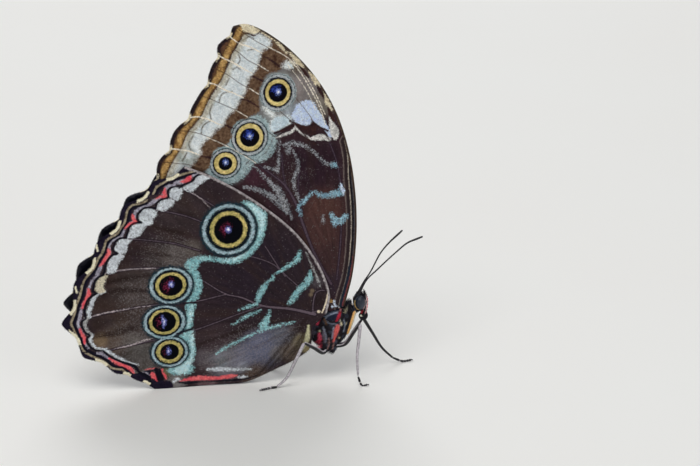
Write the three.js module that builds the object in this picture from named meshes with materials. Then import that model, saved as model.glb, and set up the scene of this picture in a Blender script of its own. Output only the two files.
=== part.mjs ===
// Blue morpho butterfly (Morpho peleides), life size, standing with its wings closed over its back.
// Millimetres. +X points to the head, +Z up, and the right side faces -Y.
// Z = 0 is the level that the feet and the right hindwing's lower corner rest on.
import * as THREE from 'three';

// ---------- body axis ----------
const BODY_PITCH = THREE.MathUtils.degToRad(20);  // the body slopes up towards the head
const BODY_ORIGIN = { x: 0, z: 5 };               // just inside the tip of the abdomen

// ---------- wings ----------
const WING_THICKNESS = 0.5;
const FOREWING_OFFSET = 0.35;     // middle plane to the inner face of a forewing
const HINDWING_OFFSET = 1.2;      // middle plane to the inner face of a hindwing, outside the forewing
const HINDWING_SPREAD = 1.1;      // a hindwing clears the body by this much more than a forewing does
const HINGE = { x: 16, z: 14 };   // the hindwings turn about this point
const LEFT_SCALE = 0.99;          // the left wings are this much smaller, as two wings seldom match
// The left hindwing is turned up about the hinge, more at its lower corner than at its tip (degrees).
const LEFT_RAISE = { tip: 1.3, corner: 3.8, tipDirection: 140, cornerDirection: 185 };
const FAN_ROWS = [0.14, 0.28, 0.44, 0.68, 1];  // rings of each wing, as shares of the way to its edge
const SCALLOP_STEPS = 6;

// How far the wings stand apart to clear the body: distance along the body axis, half width, fade.
const CLEARANCE = [
  { u: -6, amount: 0, fade: 3.0 },
  { u: 0, amount: 0.5, fade: 3.0 },
  { u: 5, amount: 1.1, fade: 3.2 },
  { u: 12, amount: 1.25, fade: 3.5 },
  { u: 15, amount: 1.7, fade: 4.0 },
  { u: 18, amount: 3.0, fade: 4.6 },
  { u: 30, amount: 3.0, fade: 4.6 },
];

// Wing outlines in the middle plane, [x, z], from the hinge round by the tip and back. Each vein end
// has a third number, the depth of the scallop between it and the next one.
const FOREWING = {
  centre: [19.6, 18.4],
  costa: [[20.9, 15.9], [22.7, 21.5], [23.6, 30], [23.4, 39], [22.1, 48], [19.6, 56.2], [15.6, 63.6],
    [9.8, 70.3], [4.4, 74.3], [1.5, 75.4], [-0.7, 75.1]],
  veinEnds: [[-0.7, 75.1, 0.7], [-3.9, 71.2, 0.8], [-5.4, 66.2, 0.9], [-8.5, 60.6, 1.1], [-12.7, 53.9, 1.0],
    [-15.9, 47.8, 1.0], [-18.3, 41.6, 0.8], [-19.3, 36, 0]],
  innerMargin: [[-16, 33.2], [-2, 25.2], [10, 18.6], [17.9, 14.9]],
};
const HINDWING = {
  centre: [12.8, 14.2],
  costa: [[17.2, 15], [18, 18], [16.9, 22.4], [14.4, 27.4], [11, 32], [6.6, 36.2], [0.3, 41], [-5.6, 44.6],
    [-10.7, 46.9]],
  veinEnds: [[-10.7, 46.9, 0.9], [-17, 44.1, 1.2], [-23.1, 39.2, 1.45], [-28.4, 31.9, 1.45],
    [-33.1, 23.7, 1.3], [-35.9, 15, 0.9], [-31.7, 7.7, 0.7], [-25.3, 3.9, 0.45], [-21.2, 2.2, 0.3],
    [-17.5, 0, 0]],
  innerMargin: [[-13.5, 0], [-6, 0.2], [1, 0.45], [6.3, 2.6], [11.3, 5], [13.6, 6.9], [14.1, 9.2], [14.3, 12],
    [15.9, 13.9]],
};

// ---------- trunk and head ----------
// Stations along the body axis (u) and above it (v), or places [x, z] in the middle plane, with the half
// height and half width there.
const THORAX = [
  { u: 15.4, v: 0, tall: 2.1, wide: 1.6 },
  { u: 16.5, v: -0.2, tall: 3.4, wide: 2.2 },
  { u: 18.2, v: -0.4, tall: 4.4, wide: 2.6 },
  { u: 20.1, v: -0.3, tall: 4.45, wide: 2.7 },
  { u: 22, v: 0, tall: 3.6, wide: 2.4 },
  { u: 23.3, v: 0.2, tall: 2.3, wide: 1.8 },
  { u: 24.1, v: 0.3, tall: 1.2, wide: 1.0 },
];
const ABDOMEN = [
  { u: -0.9, v: 0, tall: 0.35, wide: 0.3 },
  { u: 0.4, v: 0, tall: 1.0, wide: 0.8 },
  { u: 3, v: 0, tall: 1.65, wide: 1.35 },
  { u: 6.5, v: 0, tall: 2.05, wide: 1.75 },
  { u: 10, v: 0, tall: 2.15, wide: 1.9 },
  { u: 13, v: 0, tall: 1.95, wide: 1.75 },
  { u: 15, v: 0, tall: 1.3, wide: 1.2 },
];
const HEAD = [
  { at: [23.35, 13.9], tall: 0.65, wide: 0.65 },
  { at: [23.8, 14.75], tall: 1.4, wide: 0.95 },
  { at: [24.3, 15.4], tall: 1.9, wide: 1.1 },
  { at: [24.8, 15.75], tall: 1.75, wide: 1.05 },
  { at: [25.2, 15.85], tall: 1.5, wide: 0.9 },
  { at: [25.4, 15.95], tall: 0.7, wide: 0.5 },
];
const BODY_SIDES = 16;

const EYE = { at: [24.32, 15.87], inner: 1.3, outer: 2.1, halfLength: 1.05, halfHeight: 1.46 };
const PROBOSCIS = { at: [25.05, 12.6], radius: 1.05, halfWidth: 0.4 };

// ---------- limbs: points [x, y, z] of the right side, with the radius there ----------
const TUBE_SIDES = 8;
const TUBE_STEPS = 14;
const FOOT_AXIS = 0.2;       // height of a foot's centre line, so that its underside is a small flat
const CLAW_RADIUS = 0.28;

const PALP = [[25, 0.84, 12.9, 0.26], [25.75, 0.78, 14.1, 0.34], [26.05, 0.66, 15.9, 0.36],
  [25.6, 0.52, 18.2, 0.25]];
const FORELEG = [[21.5, 2.35, 9.7, 0.32], [22.3, 2.5, 12.2, 0.42], [23.15, 1.9, 14.4, 0.32]];

const ANTENNA_RIGHT = [[24, -0.75, 17.9, 0.27], [25.4, -1.1, 20.4, 0.26], [27.7, -1.8, 23.1, 0.26],
  [31.2, -2.7, 26.8, 0.28], [33.4, -3.3, 28.9, 0.32], [36.5, -4, 30.4, 0.26]];
const ANTENNA_LEFT = [[24.1, 0.75, 17.9, 0.27], [25.4, 1.4, 19.3, 0.26], [26.9, 2.2, 21.1, 0.26],
  [29.2, 3.8, 24.4, 0.28], [31.2, 4.9, 26.2, 0.32], [34.1, 6, 28.3, 0.26]];

const MIDLEG_RIGHT = [[18.9, -1.9, 7, 0.42], [21.1, -3, 8, 0.44], [23.8, -4.5, 12.8, 0.38],
  [23, -5.4, 5.8, 0.33], [23.1, -6, 1.9, 0.3], [23.7, -6.4, FOOT_AXIS, 0.28],
  [24.9, -6.6, FOOT_AXIS, CLAW_RADIUS]];
const MIDLEG_LEFT = [[18.9, 2, 6.6, 0.42], [21.9, 2.5, 6.1, 0.44], [25.5, 2.8, 11.1, 0.38],
  [29.5, 4, 4, 0.33], [31.9, 4.6, 1.3, 0.3], [34, 5, FOOT_AXIS, 0.28], [35.9, 5.4, FOOT_AXIS, CLAW_RADIUS]];
const HINDLEG_RIGHT = [[17.5, -1.7, 6.7, 0.42], [16.6, -2.4, 6.1, 0.46], [12.4, -4.6, 9.3, 0.4],
  [9, -4.6, 2.3, 0.34], [6.8, -4.9, FOOT_AXIS, 0.3], [5.2, -5.3, FOOT_AXIS, 0.28],
  [3.4, -6, FOOT_AXIS, CLAW_RADIUS]];
const HINDLEG_LEFT = [[17.5, 1.7, 6.7, 0.42], [16.6, 2.4, 6.1, 0.46], [12.6, 4.6, 9.5, 0.4],
  [9.4, 4.8, 2.3, 0.34], [7.2, 5.2, FOOT_AXIS, 0.3], [5.7, 5.6, FOOT_AXIS, 0.28],
  [4, 6.3, FOOT_AXIS, CLAW_RADIUS]];

const COLOURS = {
  wing: 0x3a2a2a,
  trunk: 0x14141a,
  eye: 0x2a303c,
  palp: 0x8a3038,
  foreleg: 0xb08a4a,
  limb: 0x16161a,
};

// ---------- geometry helpers ----------

function bodyPoint(u, v) {
  const c = Math.cos(BODY_PITCH);
  const s = Math.sin(BODY_PITCH);
  return { x: BODY_ORIGIN.x + u * c - v * s, z: BODY_ORIGIN.z + u * s + v * c };
}

function bodyCoordinates(x, z) {
  const c = Math.cos(BODY_PITCH);
  const s = Math.sin(BODY_PITCH);
  const dx = x - BODY_ORIGIN.x;
  const dz = z - BODY_ORIGIN.z;
  return { u: dx * c + dz * s, v: dz * c - dx * s };
}

// Half the gap that the body holds open between the wings at a place in the middle plane.
function bodyClearance(x, z) {
  const { u, v } = bodyCoordinates(x, z);
  const last = CLEARANCE.length - 1;
  if (u <= CLEARANCE[0].u) return 0;
  const after = CLEARANCE.findIndex((station) => station.u > u);
  const upper = CLEARANCE[after < 0 ? last : after];
  const lower = CLEARANCE[after < 0 ? last : after - 1];
  const share = upper === lower ? 0 : (u - lower.u) / (upper.u - lower.u);
  const eased = THREE.MathUtils.smoothstep(share, 0, 1);
  const amount = THREE.MathUtils.lerp(lower.amount, upper.amount, eased);
  const fade = THREE.MathUtils.lerp(lower.fade, upper.fade, eased);
  return amount * Math.exp(-((v / fade) ** 2));
}

// Smooth curve through hand-placed points, as a list of Vector3.
function smoothCurve(points, steps) {
  const vectors = points.map(([x, y, z]) => new THREE.Vector3(x, y, z));
  return new THREE.CatmullRomCurve3(vectors, false, 'centripetal').getSpacedPoints(steps);
}

function smoothEdge(points, steps) {
  return smoothCurve(points.map(([x, z]) => [x, 0, z]), steps).map((p) => [p.x, p.z]);
}

// A wing's outer margin: from vein end to vein end, drawn in between them by the scallop's depth.
function scallopedMargin(veinEnds) {
  const points = [];
  for (let i = 0; i + 1 < veinEnds.length; i += 1) {
    const [x0, z0, depth] = veinEnds[i];
    const [x1, z1] = veinEnds[i + 1];
    const length = Math.hypot(x1 - x0, z1 - z0);
    for (let k = 0; k < SCALLOP_STEPS; k += 1) {
      const share = k / SCALLOP_STEPS;
      const inward = depth * Math.sin(Math.PI * share) ** 2;
      points.push([
        x0 + (x1 - x0) * share - ((z1 - z0) / length) * inward,
        z0 + (z1 - z0) * share + ((x1 - x0) / length) * inward,
      ]);
    }
  }
  return points;
}

function wingOutline(wing) {
  const [cornerX, cornerZ] = wing.veinEnds.at(-1);
  return [
    ...smoothEdge(wing.costa, 18).slice(0, -1),
    ...scallopedMargin(wing.veinEnds),
    [cornerX, cornerZ],
    ...smoothEdge([[cornerX, cornerZ], ...wing.innerMargin], 15).slice(1),
  ];
}

// Where a point of the right wing's outline lies on the left wing, before it is mirrored.
function leftWingPlace([x, z], raised) {
  const dx = (x - HINGE.x) * LEFT_SCALE;
  const dz = (z - HINGE.z) * LEFT_SCALE;
  const direction = THREE.MathUtils.radToDeg(Math.atan2(dz, dx));
  const share = THREE.MathUtils.smoothstep(
    (direction + 360) % 360, LEFT_RAISE.tipDirection, LEFT_RAISE.cornerDirection);
  const turn = THREE.MathUtils.degToRad(THREE.MathUtils.lerp(LEFT_RAISE.tip, LEFT_RAISE.corner, share));
  const angle = raised ? turn : 0;
  return [
    HINGE.x + dx * Math.cos(angle) + dz * Math.sin(angle),
    HINGE.z - dx * Math.sin(angle) + dz * Math.cos(angle),
  ];
}

// Closed surface from a vertex list and triangles, turned so that its faces point out.
function closedGeometry(vertices, triangles) {
  const volume = triangles.reduce((sum, [a, b, c]) => {
    const cross = new THREE.Vector3().crossVectors(vertices[b], vertices[c]);
    return sum + vertices[a].dot(cross);
  }, 0);
  const outward = volume > 0 ? triangles : triangles.map(([a, b, c]) => [a, c, b]);
  const geometry = new THREE.BufferGeometry();
  geometry.setAttribute('position', new THREE.Float32BufferAttribute(vertices.flatMap((v) => v.toArray()), 3));
  geometry.setIndex(outward.flat());
  geometry.computeVertexNormals();
  return geometry;
}

// Skin over rings of equal length, closed at both ends by fans round the ring's middle.
function loft(rings) {
  const sides = rings[0].length;
  const vertices = rings.flat();
  const triangles = [];
  for (let r = 0; r + 1 < rings.length; r += 1) {
    for (let s = 0; s < sides; s += 1) {
      const a = r * sides + s;
      const b = r * sides + ((s + 1) % sides);
      triangles.push([a, b, b + sides], [a, b + sides, a + sides]);
    }
  }
  for (const r of [0, rings.length - 1]) {
    const middle = vertices.length;
    const centre = rings[r].reduce((sum, p) => sum.add(p), new THREE.Vector3()).divideScalar(sides);
    vertices.push(centre);
    for (let s = 0; s < sides; s += 1) {
      const a = r * sides + s;
      const b = r * sides + ((s + 1) % sides);
      triangles.push(r === 0 ? [middle, b, a] : [middle, a, b]);
    }
  }
  return closedGeometry(vertices, triangles);
}

// Round-sectioned limb through [x, y, z, radius] points; nothing of it goes below the floor.
function limb(points, steps = TUBE_STEPS, sides = TUBE_SIDES) {
  const curve = new THREE.CatmullRomCurve3(points.map(([x, y, z]) => new THREE.Vector3(x, y, z)), false,
    'centripetal');
  const frames = curve.computeFrenetFrames(steps, false);
  const rings = [];
  for (let k = 0; k <= steps; k += 1) {
    const centre = curve.getPointAt(k / steps);
    const place = curve.getUtoTmapping(k / steps) * (points.length - 1);
    const before = Math.min(Math.floor(place), points.length - 2);
    const radius = THREE.MathUtils.lerp(points[before][3], points[before + 1][3], place - before);
    const ring = [];
    for (let s = 0; s < sides; s += 1) {
      const angle = (s / sides) * 2 * Math.PI;
      const p = centre.clone()
        .addScaledVector(frames.normals[k], radius * Math.cos(angle))
        .addScaledVector(frames.binormals[k], radius * Math.sin(angle));
      p.z = Math.max(p.z, 0);
      ring.push(p);
    }
    rings.push(ring);
  }
  return loft(rings);
}

// Trunk-like piece: oval rings square to its own line in the middle plane.
function trunk(stations) {
  const rings = stations.map(({ at, tall, wide }, k) => {
    const before = stations[Math.max(k - 1, 0)].at;
    const after = stations[Math.min(k + 1, stations.length - 1)].at;
    const along = new THREE.Vector2(after[0] - before[0], after[1] - before[1]).normalize();
    return Array.from({ length: BODY_SIDES }, (_, s) => {
      const angle = (s / BODY_SIDES) * 2 * Math.PI;
      const up = tall * Math.cos(angle);
      return new THREE.Vector3(at[0] - along.y * up, wide * Math.sin(angle), at[1] + along.x * up);
    });
  });
  return loft(rings);
}

function trunkOnAxis(stations) {
  return trunk(stations.map(({ u, v, tall, wide }) => {
    const { x, z } = bodyPoint(u, v);
    return { at: [x, z], tall, wide };
  }));
}

// ---------- pieces ----------

// A wing is a plate that follows the body's bulge: a fan of rows from its centre out to the outline.
function wingPlate(wing, offset, spread, side, lay) {
  const outline = wingOutline(wing).map(lay);
  const [cx, cz] = lay(wing.centre);
  const count = outline.length;
  const place = (x, z, out) => {
    const y = offset + spread * bodyClearance(x, z) + out;
    return new THREE.Vector3(x, side * y, Math.max(z, 0));
  };
  const vertices = [];
  const triangles = [];
  const faceStarts = [0, WING_THICKNESS].map((out) => {
    const start = vertices.length;
    vertices.push(place(cx, cz, out));
    for (const share of FAN_ROWS) {
      for (const [x, z] of outline) {
        vertices.push(place(cx + (x - cx) * share, cz + (z - cz) * share, out));
      }
    }
    return start;
  });
  faceStarts.forEach((start, face) => {
    const add = (a, b, c) => triangles.push(face === 0 ? [a, b, c] : [a, c, b]);
    for (let i = 0; i < count; i += 1) {
      const j = (i + 1) % count;
      add(start, start + 1 + i, start + 1 + j);
      for (let r = 0; r + 1 < FAN_ROWS.length; r += 1) {
        const inner = start + 1 + r * count;
        const outer = inner + count;
        add(inner + i, outer + i, outer + j);
        add(inner + i, outer + j, inner + j);
      }
    }
  });
  const rim = 1 + (FAN_ROWS.length - 1) * count;
  for (let i = 0; i < count; i += 1) {
    const j = (i + 1) % count;
    const [a, b] = [faceStarts[0] + rim + i, faceStarts[0] + rim + j];
    const [c, d] = [faceStarts[1] + rim + i, faceStarts[1] + rim + j];
    triangles.push([a, c, d], [a, d, b]);
  }
  return closedGeometry(vertices, triangles);
}

// Oval dome on the side of the head.
function eyeDome(side) {
  const levels = [0, 0.3, 0.55, 0.78, 0.94];
  const rings = levels.map((level) => {
    const scale = Math.sqrt(1 - level ** 2);
    const y = side * (EYE.inner + (EYE.outer - EYE.inner) * level);
    return Array.from({ length: BODY_SIDES }, (_, s) => {
      const angle = (s / BODY_SIDES) * 2 * Math.PI;
      return new THREE.Vector3(
        EYE.at[0] + EYE.halfLength * scale * Math.cos(angle), y,
        EYE.at[1] + EYE.halfHeight * scale * Math.sin(angle));
    });
  });
  return loft(rings);
}

// The coiled tongue, as the round disc that its coil fills.
function coiledTongue() {
  const { radius, halfWidth } = PROBOSCIS;
  const profile = [[0, -halfWidth], [radius * 0.8, -halfWidth], [radius, -halfWidth * 0.5],
    [radius, halfWidth * 0.5], [radius * 0.8, halfWidth], [0, halfWidth]];
  const rings = profile.slice(1, -1).map(([r, y]) => Array.from({ length: BODY_SIDES }, (_, s) => {
    const angle = (s / BODY_SIDES) * 2 * Math.PI;
    return new THREE.Vector3(
      PROBOSCIS.at[0] + r * Math.cos(angle), y, PROBOSCIS.at[1] + r * Math.sin(angle));
  }));
  return loft(rings);
}

function onSide(points, side) {
  return points.map(([x, y, z, radius]) => [x, side * y, z, radius]);
}

// ---------- assembly ----------
const butterfly = new THREE.Group();

function addPiece(name, geometry, colour, roughness = 0.7) {
  const material = new THREE.MeshStandardMaterial({ color: colour, roughness, metalness: 0 });
  const mesh = new THREE.Mesh(geometry, material);
  mesh.name = name;
  butterfly.add(mesh);
}

addPiece('head', trunk(HEAD), COLOURS.trunk);
addPiece('thorax', trunkOnAxis(THORAX), COLOURS.trunk);
addPiece('abdomen', trunkOnAxis(ABDOMEN), COLOURS.trunk);
addPiece('proboscis', coiledTongue(), COLOURS.trunk, 0.5);

for (const { name, side, layFore, layHind } of [
  { name: 'right', side: -1, layFore: (p) => p, layHind: (p) => p },
  { name: 'left', side: 1, layFore: (p) => leftWingPlace(p, false), layHind: (p) => leftWingPlace(p, true) },
]) {
  const fore = wingPlate(FOREWING, FOREWING_OFFSET, 1, side, layFore);
  const hind = wingPlate(HINDWING, HINDWING_OFFSET, HINDWING_SPREAD, side, layHind);
  addPiece(`forewing_${name}`, fore, COLOURS.wing);
  addPiece(`hindwing_${name}`, hind, COLOURS.wing);
  addPiece(`eye_${name}`, eyeDome(side), COLOURS.eye, 0.3);
  addPiece(`palp_${name}`, limb(onSide(PALP, side), 8), COLOURS.palp);
  addPiece(`foreleg_${name}`, limb(onSide(FORELEG, side), 6), COLOURS.foreleg);
}

addPiece('antenna_right', limb(ANTENNA_RIGHT, 14, 6), COLOURS.limb);
addPiece('antenna_left', limb(ANTENNA_LEFT, 14, 6), COLOURS.limb);
addPiece('midleg_right', limb(MIDLEG_RIGHT, 18), COLOURS.limb);
addPiece('midleg_left', limb(MIDLEG_LEFT, 18), COLOURS.limb);
addPiece('hindleg_right', limb(HINDLEG_RIGHT, 18), COLOURS.limb);
addPiece('hindleg_left', limb(HINDLEG_LEFT, 18), COLOURS.limb);

export default butterfly;
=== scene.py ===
"""Looks of the blue morpho butterfly model: wings shut, standing on its feet and wing corners.

Lengths in the tables below are in millimetres, in the part's own frame: x runs from the wing
margins to the head, y from the right side to the left, z up. Colours are screen values, 0 to 255.
"""

import math

import bpy
import numpy as np
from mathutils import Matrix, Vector
from mathutils.geometry import delaunay_2d_cdt


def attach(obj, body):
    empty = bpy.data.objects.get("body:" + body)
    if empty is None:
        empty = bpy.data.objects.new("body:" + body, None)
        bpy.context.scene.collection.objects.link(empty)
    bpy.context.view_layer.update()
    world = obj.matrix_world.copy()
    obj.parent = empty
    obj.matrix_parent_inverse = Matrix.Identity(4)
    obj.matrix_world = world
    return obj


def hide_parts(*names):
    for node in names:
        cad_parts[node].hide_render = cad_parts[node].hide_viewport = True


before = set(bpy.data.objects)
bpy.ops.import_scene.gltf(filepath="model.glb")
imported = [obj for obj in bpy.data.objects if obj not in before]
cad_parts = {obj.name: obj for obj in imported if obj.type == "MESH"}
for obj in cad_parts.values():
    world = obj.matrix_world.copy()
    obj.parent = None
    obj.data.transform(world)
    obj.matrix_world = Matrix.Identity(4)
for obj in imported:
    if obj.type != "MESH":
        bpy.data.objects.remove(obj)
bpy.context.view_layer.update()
rng = np.random.default_rng(11)
MM = 0.001
SIDES = ((-1, "right"), (1, "left"))

# ---------------------------------------------------------------- camera and light

AZIMUTH, ELEVATION = math.radians(-9), math.radians(20)
VIEW = Vector(
    (
        -math.sin(AZIMUTH) * math.cos(ELEVATION),
        math.cos(AZIMUTH) * math.cos(ELEVATION),
        -math.sin(ELEVATION),
    )
)
TARGET = Vector((0.0224, 0, 0.0305))
DISTANCE = 0.84
LIGHT_TARGET = Vector((0, 0, 0.03))


def aim(thing, place, direction):
    """Puts a camera or light in the scene at a place, facing a direction."""
    thing.location = place
    thing.rotation_euler = direction.to_track_quat("-Z", "Y").to_euler()
    bpy.context.scene.collection.objects.link(thing)


camera_data = bpy.data.cameras.new("camera")
camera_data.sensor_width = 36
camera_data.lens = 216
camera_data.clip_start = 0.01
camera_data.clip_end = 20
camera = bpy.data.objects.new("camera", camera_data)
aim(camera, TARGET - VIEW * DISTANCE, VIEW)
bpy.context.scene.camera = camera

for name, place, size, power, colour in (
    ("key", (-0.25, -0.45, 0.95), 0.7, 5.4, (1, 0.985, 0.96)),
    ("fill", (0.7, -0.8, 0.45), 0.8, 1.4, (0.95, 0.98, 1)),
    ("back", (0.1, 0.9, 0.7), 0.8, 5.0, (1, 1, 1)),
):
    softbox = bpy.data.lights.new(name, "AREA")
    softbox.size = size
    softbox.energy = power
    softbox.color = colour
    aim(bpy.data.objects.new(name, softbox), place, LIGHT_TARGET - Vector(place))

world = bpy.data.worlds.new("world")
world.use_nodes = True
surroundings = world.node_tree.nodes["Background"].inputs
surroundings["Color"].default_value = (0.93, 0.97, 1, 1)
surroundings["Strength"].default_value = 0.24
bpy.context.scene.world = world
bpy.context.scene.view_settings.view_transform = "Standard"


# ---------------------------------------------------------------- material tools

PAINT_GAIN = 1.55


def ink(red, green, blue, gain=1.0):
    """A colour given in screen values, as linear light."""
    screen = np.array([red, green, blue], float) / 255
    linear = np.where(screen <= 0.04045, screen / 12.92, ((screen + 0.055) / 1.055) ** 2.4)
    return tuple(np.clip(linear * gain, 0, 0.95)) + (1.0,)


def tone(shade):
    """The ink that looks like a shade in this scene's light."""
    return ink(*shade, PAINT_GAIN)


def plain_coat(shade, count):
    """One colour row for each of a number of points."""
    return np.tile(np.array(tone(shade)), (count, 1))


def blend(colours, shade, share):
    """Colour rows taken towards a shade, each by its own share."""
    return colours + (np.array(tone(shade)) - colours) * share[:, None]


class Paint:
    """Builds the node tree of one material."""

    def __init__(self, name, roughness, specular=0.5):
        self.material = bpy.data.materials.new(name)
        self.material.use_nodes = True
        self.tree = self.material.node_tree
        self.shader = self.tree.nodes["Principled BSDF"]
        self.shader.inputs["Roughness"].default_value = roughness
        self.shader.inputs["Specular IOR Level"].default_value = specular
        self.place = self.node("ShaderNodeTexCoord").outputs["Object"]

    def node(self, kind, **settings):
        made = self.tree.nodes.new(kind)
        for key, value in settings.items():
            setattr(made, key, value)
        return made

    def put(self, socket, value):
        if isinstance(value, bpy.types.NodeSocket):
            self.tree.links.new(value, socket)
        else:
            socket.default_value = value

    def stored(self, name, output="Fac"):
        """What the mesh keeps at its points under a name: a number (Fac), a Vector or a Color."""
        return self.node("ShaderNodeAttribute", attribute_name=name).outputs[output]

    def maths(self, operation, first, second=0.0):
        made = self.node("ShaderNodeMath", operation=operation)
        self.put(made.inputs[0], first)
        self.put(made.inputs[1], second)
        return made.outputs[0]

    def span(self, value, low, high, to_low=0.0, to_high=1.0):
        """The value's place between low and high, held at both ends."""
        made = self.node("ShaderNodeMapRange")
        self.put(made.inputs["Value"], value)
        limits = {"From Min": low, "From Max": high, "To Min": to_low, "To Max": to_high}
        for socket, limit in limits.items():
            made.inputs[socket].default_value = limit
        return made.outputs["Result"]

    def mix(self, share, first, second, blend_type="MIX"):
        made = self.node("ShaderNodeMix", data_type="RGBA", blend_type=blend_type)
        self.put(made.inputs["Factor"], share)
        self.put(made.inputs[6], first)
        self.put(made.inputs[7], second)
        return made.outputs[2]

    def vary(self, colour, value, low, high, darkest, lightest):
        """The colour, darkened and lightened by a value."""
        return self.mix(1.0, colour, self.span(value, low, high, darkest, lightest), "MULTIPLY")

    def texture(self, kind, size, place=None):
        made = self.node(kind)
        self.put(made.inputs["Vector"], self.place if place is None else place)
        made.inputs["Scale"].default_value = 1 / size
        return made

    def noise(self, size, detail=2.0, rough=0.5, place=None, unit=MM):
        """Cloudy noise whose clumps are about size across, from 0 to 1."""
        made = self.texture("ShaderNodeTexNoise", size * unit, place)
        made.inputs["Detail"].default_value = detail
        made.inputs["Roughness"].default_value = rough
        return made.outputs["Fac"]

    def cells(self, size, output="Color"):
        """Small cells about size across: a random number in each, or the distance to its middle."""
        made = self.texture("ShaderNodeTexVoronoi", size * MM)
        if output == "Distance":
            return made.outputs["Distance"]
        split = self.node("ShaderNodeSeparateColor")
        self.put(split.inputs[0], made.outputs["Color"])
        return split.outputs[0]

    def bump(self, height, depth):
        made = self.node("ShaderNodeBump")
        made.inputs["Strength"].default_value = 1.0
        made.inputs["Distance"].default_value = depth * MM
        self.put(made.inputs["Height"], height)
        self.put(self.shader.inputs["Normal"], made.outputs["Normal"])

    def base(self, colour):
        self.put(self.shader.inputs["Base Color"], colour)
        return self.material


# ---------------------------------------------------------------- mesh tools


def mesh_object(name, points, faces, materials, slot):
    """A smooth piece from millimetre points. Faces is an array of triangles or a list of loops."""
    mesh = bpy.data.meshes.new(name)
    points = np.asarray(points, float) * MM
    if isinstance(faces, np.ndarray):
        mesh.vertices.add(len(points))
        mesh.vertices.foreach_set("co", points.ravel())
        mesh.loops.add(faces.size)
        mesh.loops.foreach_set("vertex_index", faces.ravel())
        mesh.polygons.add(len(faces))
        mesh.polygons.foreach_set("loop_start", np.arange(len(faces)) * faces.shape[1])
        mesh.update(calc_edges=True)
        mesh.validate()
    else:
        mesh.from_pydata(points.tolist(), [], faces)
    mesh.shade_smooth()
    for material in materials:
        mesh.materials.append(material)
    piece = bpy.data.objects.new(name, mesh)
    bpy.context.scene.collection.objects.link(piece)
    if slot:
        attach(piece, "root")
    return piece


def store(mesh, name, values):
    """Keeps a number, a place or a colour at each point."""
    values = np.asarray(values, np.float32)
    kinds = {1: ("FLOAT", "value"), 3: ("FLOAT_VECTOR", "vector"), 4: ("FLOAT_COLOR", "color")}
    kind, field = kinds[1 if values.ndim == 1 else values.shape[1]]
    attribute = mesh.attributes.new(name, kind, "POINT")
    attribute.data.foreach_set(field, values.ravel())


def read(mesh, field):
    """The rows of a field of the mesh's points."""
    values = np.empty(len(mesh.vertices) * 3)
    mesh.vertices.foreach_get(field, values)
    return values.reshape(-1, 3)


def bake_map(mesh, corners):
    """The map that materials are baked on, as one place for each corner of each face."""
    layer = mesh.uv_layers.new(name="OFBake")
    layer.data.foreach_set("uv", np.asarray(corners, np.float32).ravel())


def joined(parts):
    """The points and faces of several parts as those of one."""
    points, faces = [], []
    for more_points, more_faces in parts:
        start = len(points)
        points += list(more_points)
        faces += [tuple(i + start for i in face) for face in more_faces]
    return points, faces


def circle(sides):
    """The turns of the points of a circle."""
    return [2 * math.pi * k / sides for k in range(sides)]


def wound(rows, sides, flip=False):
    """Faces of a closed skin over rows of points, with both ends shut."""
    faces = []
    for start in range(0, (rows - 1) * sides, sides):
        for k in range(sides):
            a, b = start + k, start + (k + 1) % sides
            faces.append((a, a + sides, b + sides, b) if flip else (a, b, b + sides, a + sides))
    last = (rows - 1) * sides
    for end in (tuple(range(sides)), tuple(range(last, last + sides))[::-1]):
        faces.append(end if flip else end[::-1])
    return faces


def unit(rows):
    """Rows made one long, where they have a length at all."""
    return rows / np.maximum(np.linalg.norm(rows, axis=-1, keepdims=True), 1e-9)


def lengths_along(points):
    """How far along a path each of its points lies."""
    return np.concatenate([[0], np.cumsum(np.linalg.norm(np.diff(points, axis=0), axis=1))])


# ---------------------------------------------------------------- drawing tools, in millimetres

FAR = -5.0
STROKE_STEP = 0.35


def curve(points, spacing=STROKE_STEP, closed=False):
    """A smooth line through points (centripetal Catmull-Rom). Columns past x and z come along."""
    p = np.array(points, float)
    if closed:
        p = np.vstack([p[-1], p, p[0], p[1]])
    else:
        p = np.vstack([2 * p[0] - p[1], p, 2 * p[-1] - p[-2]])
    rows = []
    for a, b, c, d in zip(p[:-3], p[1:-2], p[2:-1], p[3:]):
        steps = [max(np.linalg.norm((w - v)[:2]) ** 0.5, 1e-3) for v, w in ((a, b), (b, c), (c, d))]
        t0, t1, t2, t3 = np.cumsum([0.0] + steps)
        n = max(1, int(math.ceil(np.linalg.norm((c - b)[:2]) / spacing)))
        t = np.linspace(t1, t2, n, endpoint=False)[:, None]
        ab = ((t1 - t) * a + (t - t0) * b) / (t1 - t0)
        bc = ((t2 - t) * b + (t - t1) * c) / (t2 - t1)
        cd = ((t3 - t) * c + (t - t2) * d) / (t3 - t2)
        abc = ((t2 - t) * ab + (t - t0) * bc) / (t2 - t0)
        bcd = ((t3 - t) * bc + (t - t1) * cd) / (t3 - t1)
        rows.append(((t2 - t) * abc + (t - t1) * bcd) / (t2 - t1))
    if not closed:
        rows.append(p[-2:-1])
    return np.vstack(rows)


def wide(width, *points):
    """A path of one width: rows (x, z, width)."""
    return np.array([(row[0], row[1], width) for row in points], float)


def cover_of_line(x, z, line):
    """How deep each point lies inside a line of rows (x, z, width): below zero outside it."""
    best = np.full(x.shape, FAR)
    for (ax, az, aw), (bx, bz, bw) in zip(line[:-1], line[1:]):
        dx, dz = bx - ax, bz - az
        t = np.clip(((x - ax) * dx + (z - az) * dz) / max(dx * dx + dz * dz, 1e-9), 0, 1)
        gap = np.hypot(x - ax - dx * t, z - az - dz * t)
        best = np.maximum(best, (aw + (bw - aw) * t) / 2 - gap)
    return best


def gap_to_loop(x, z, loop):
    """How far each point is from a closed loop."""
    return -cover_of_line(x, z, wide(0, *loop, loop[0]))


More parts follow.
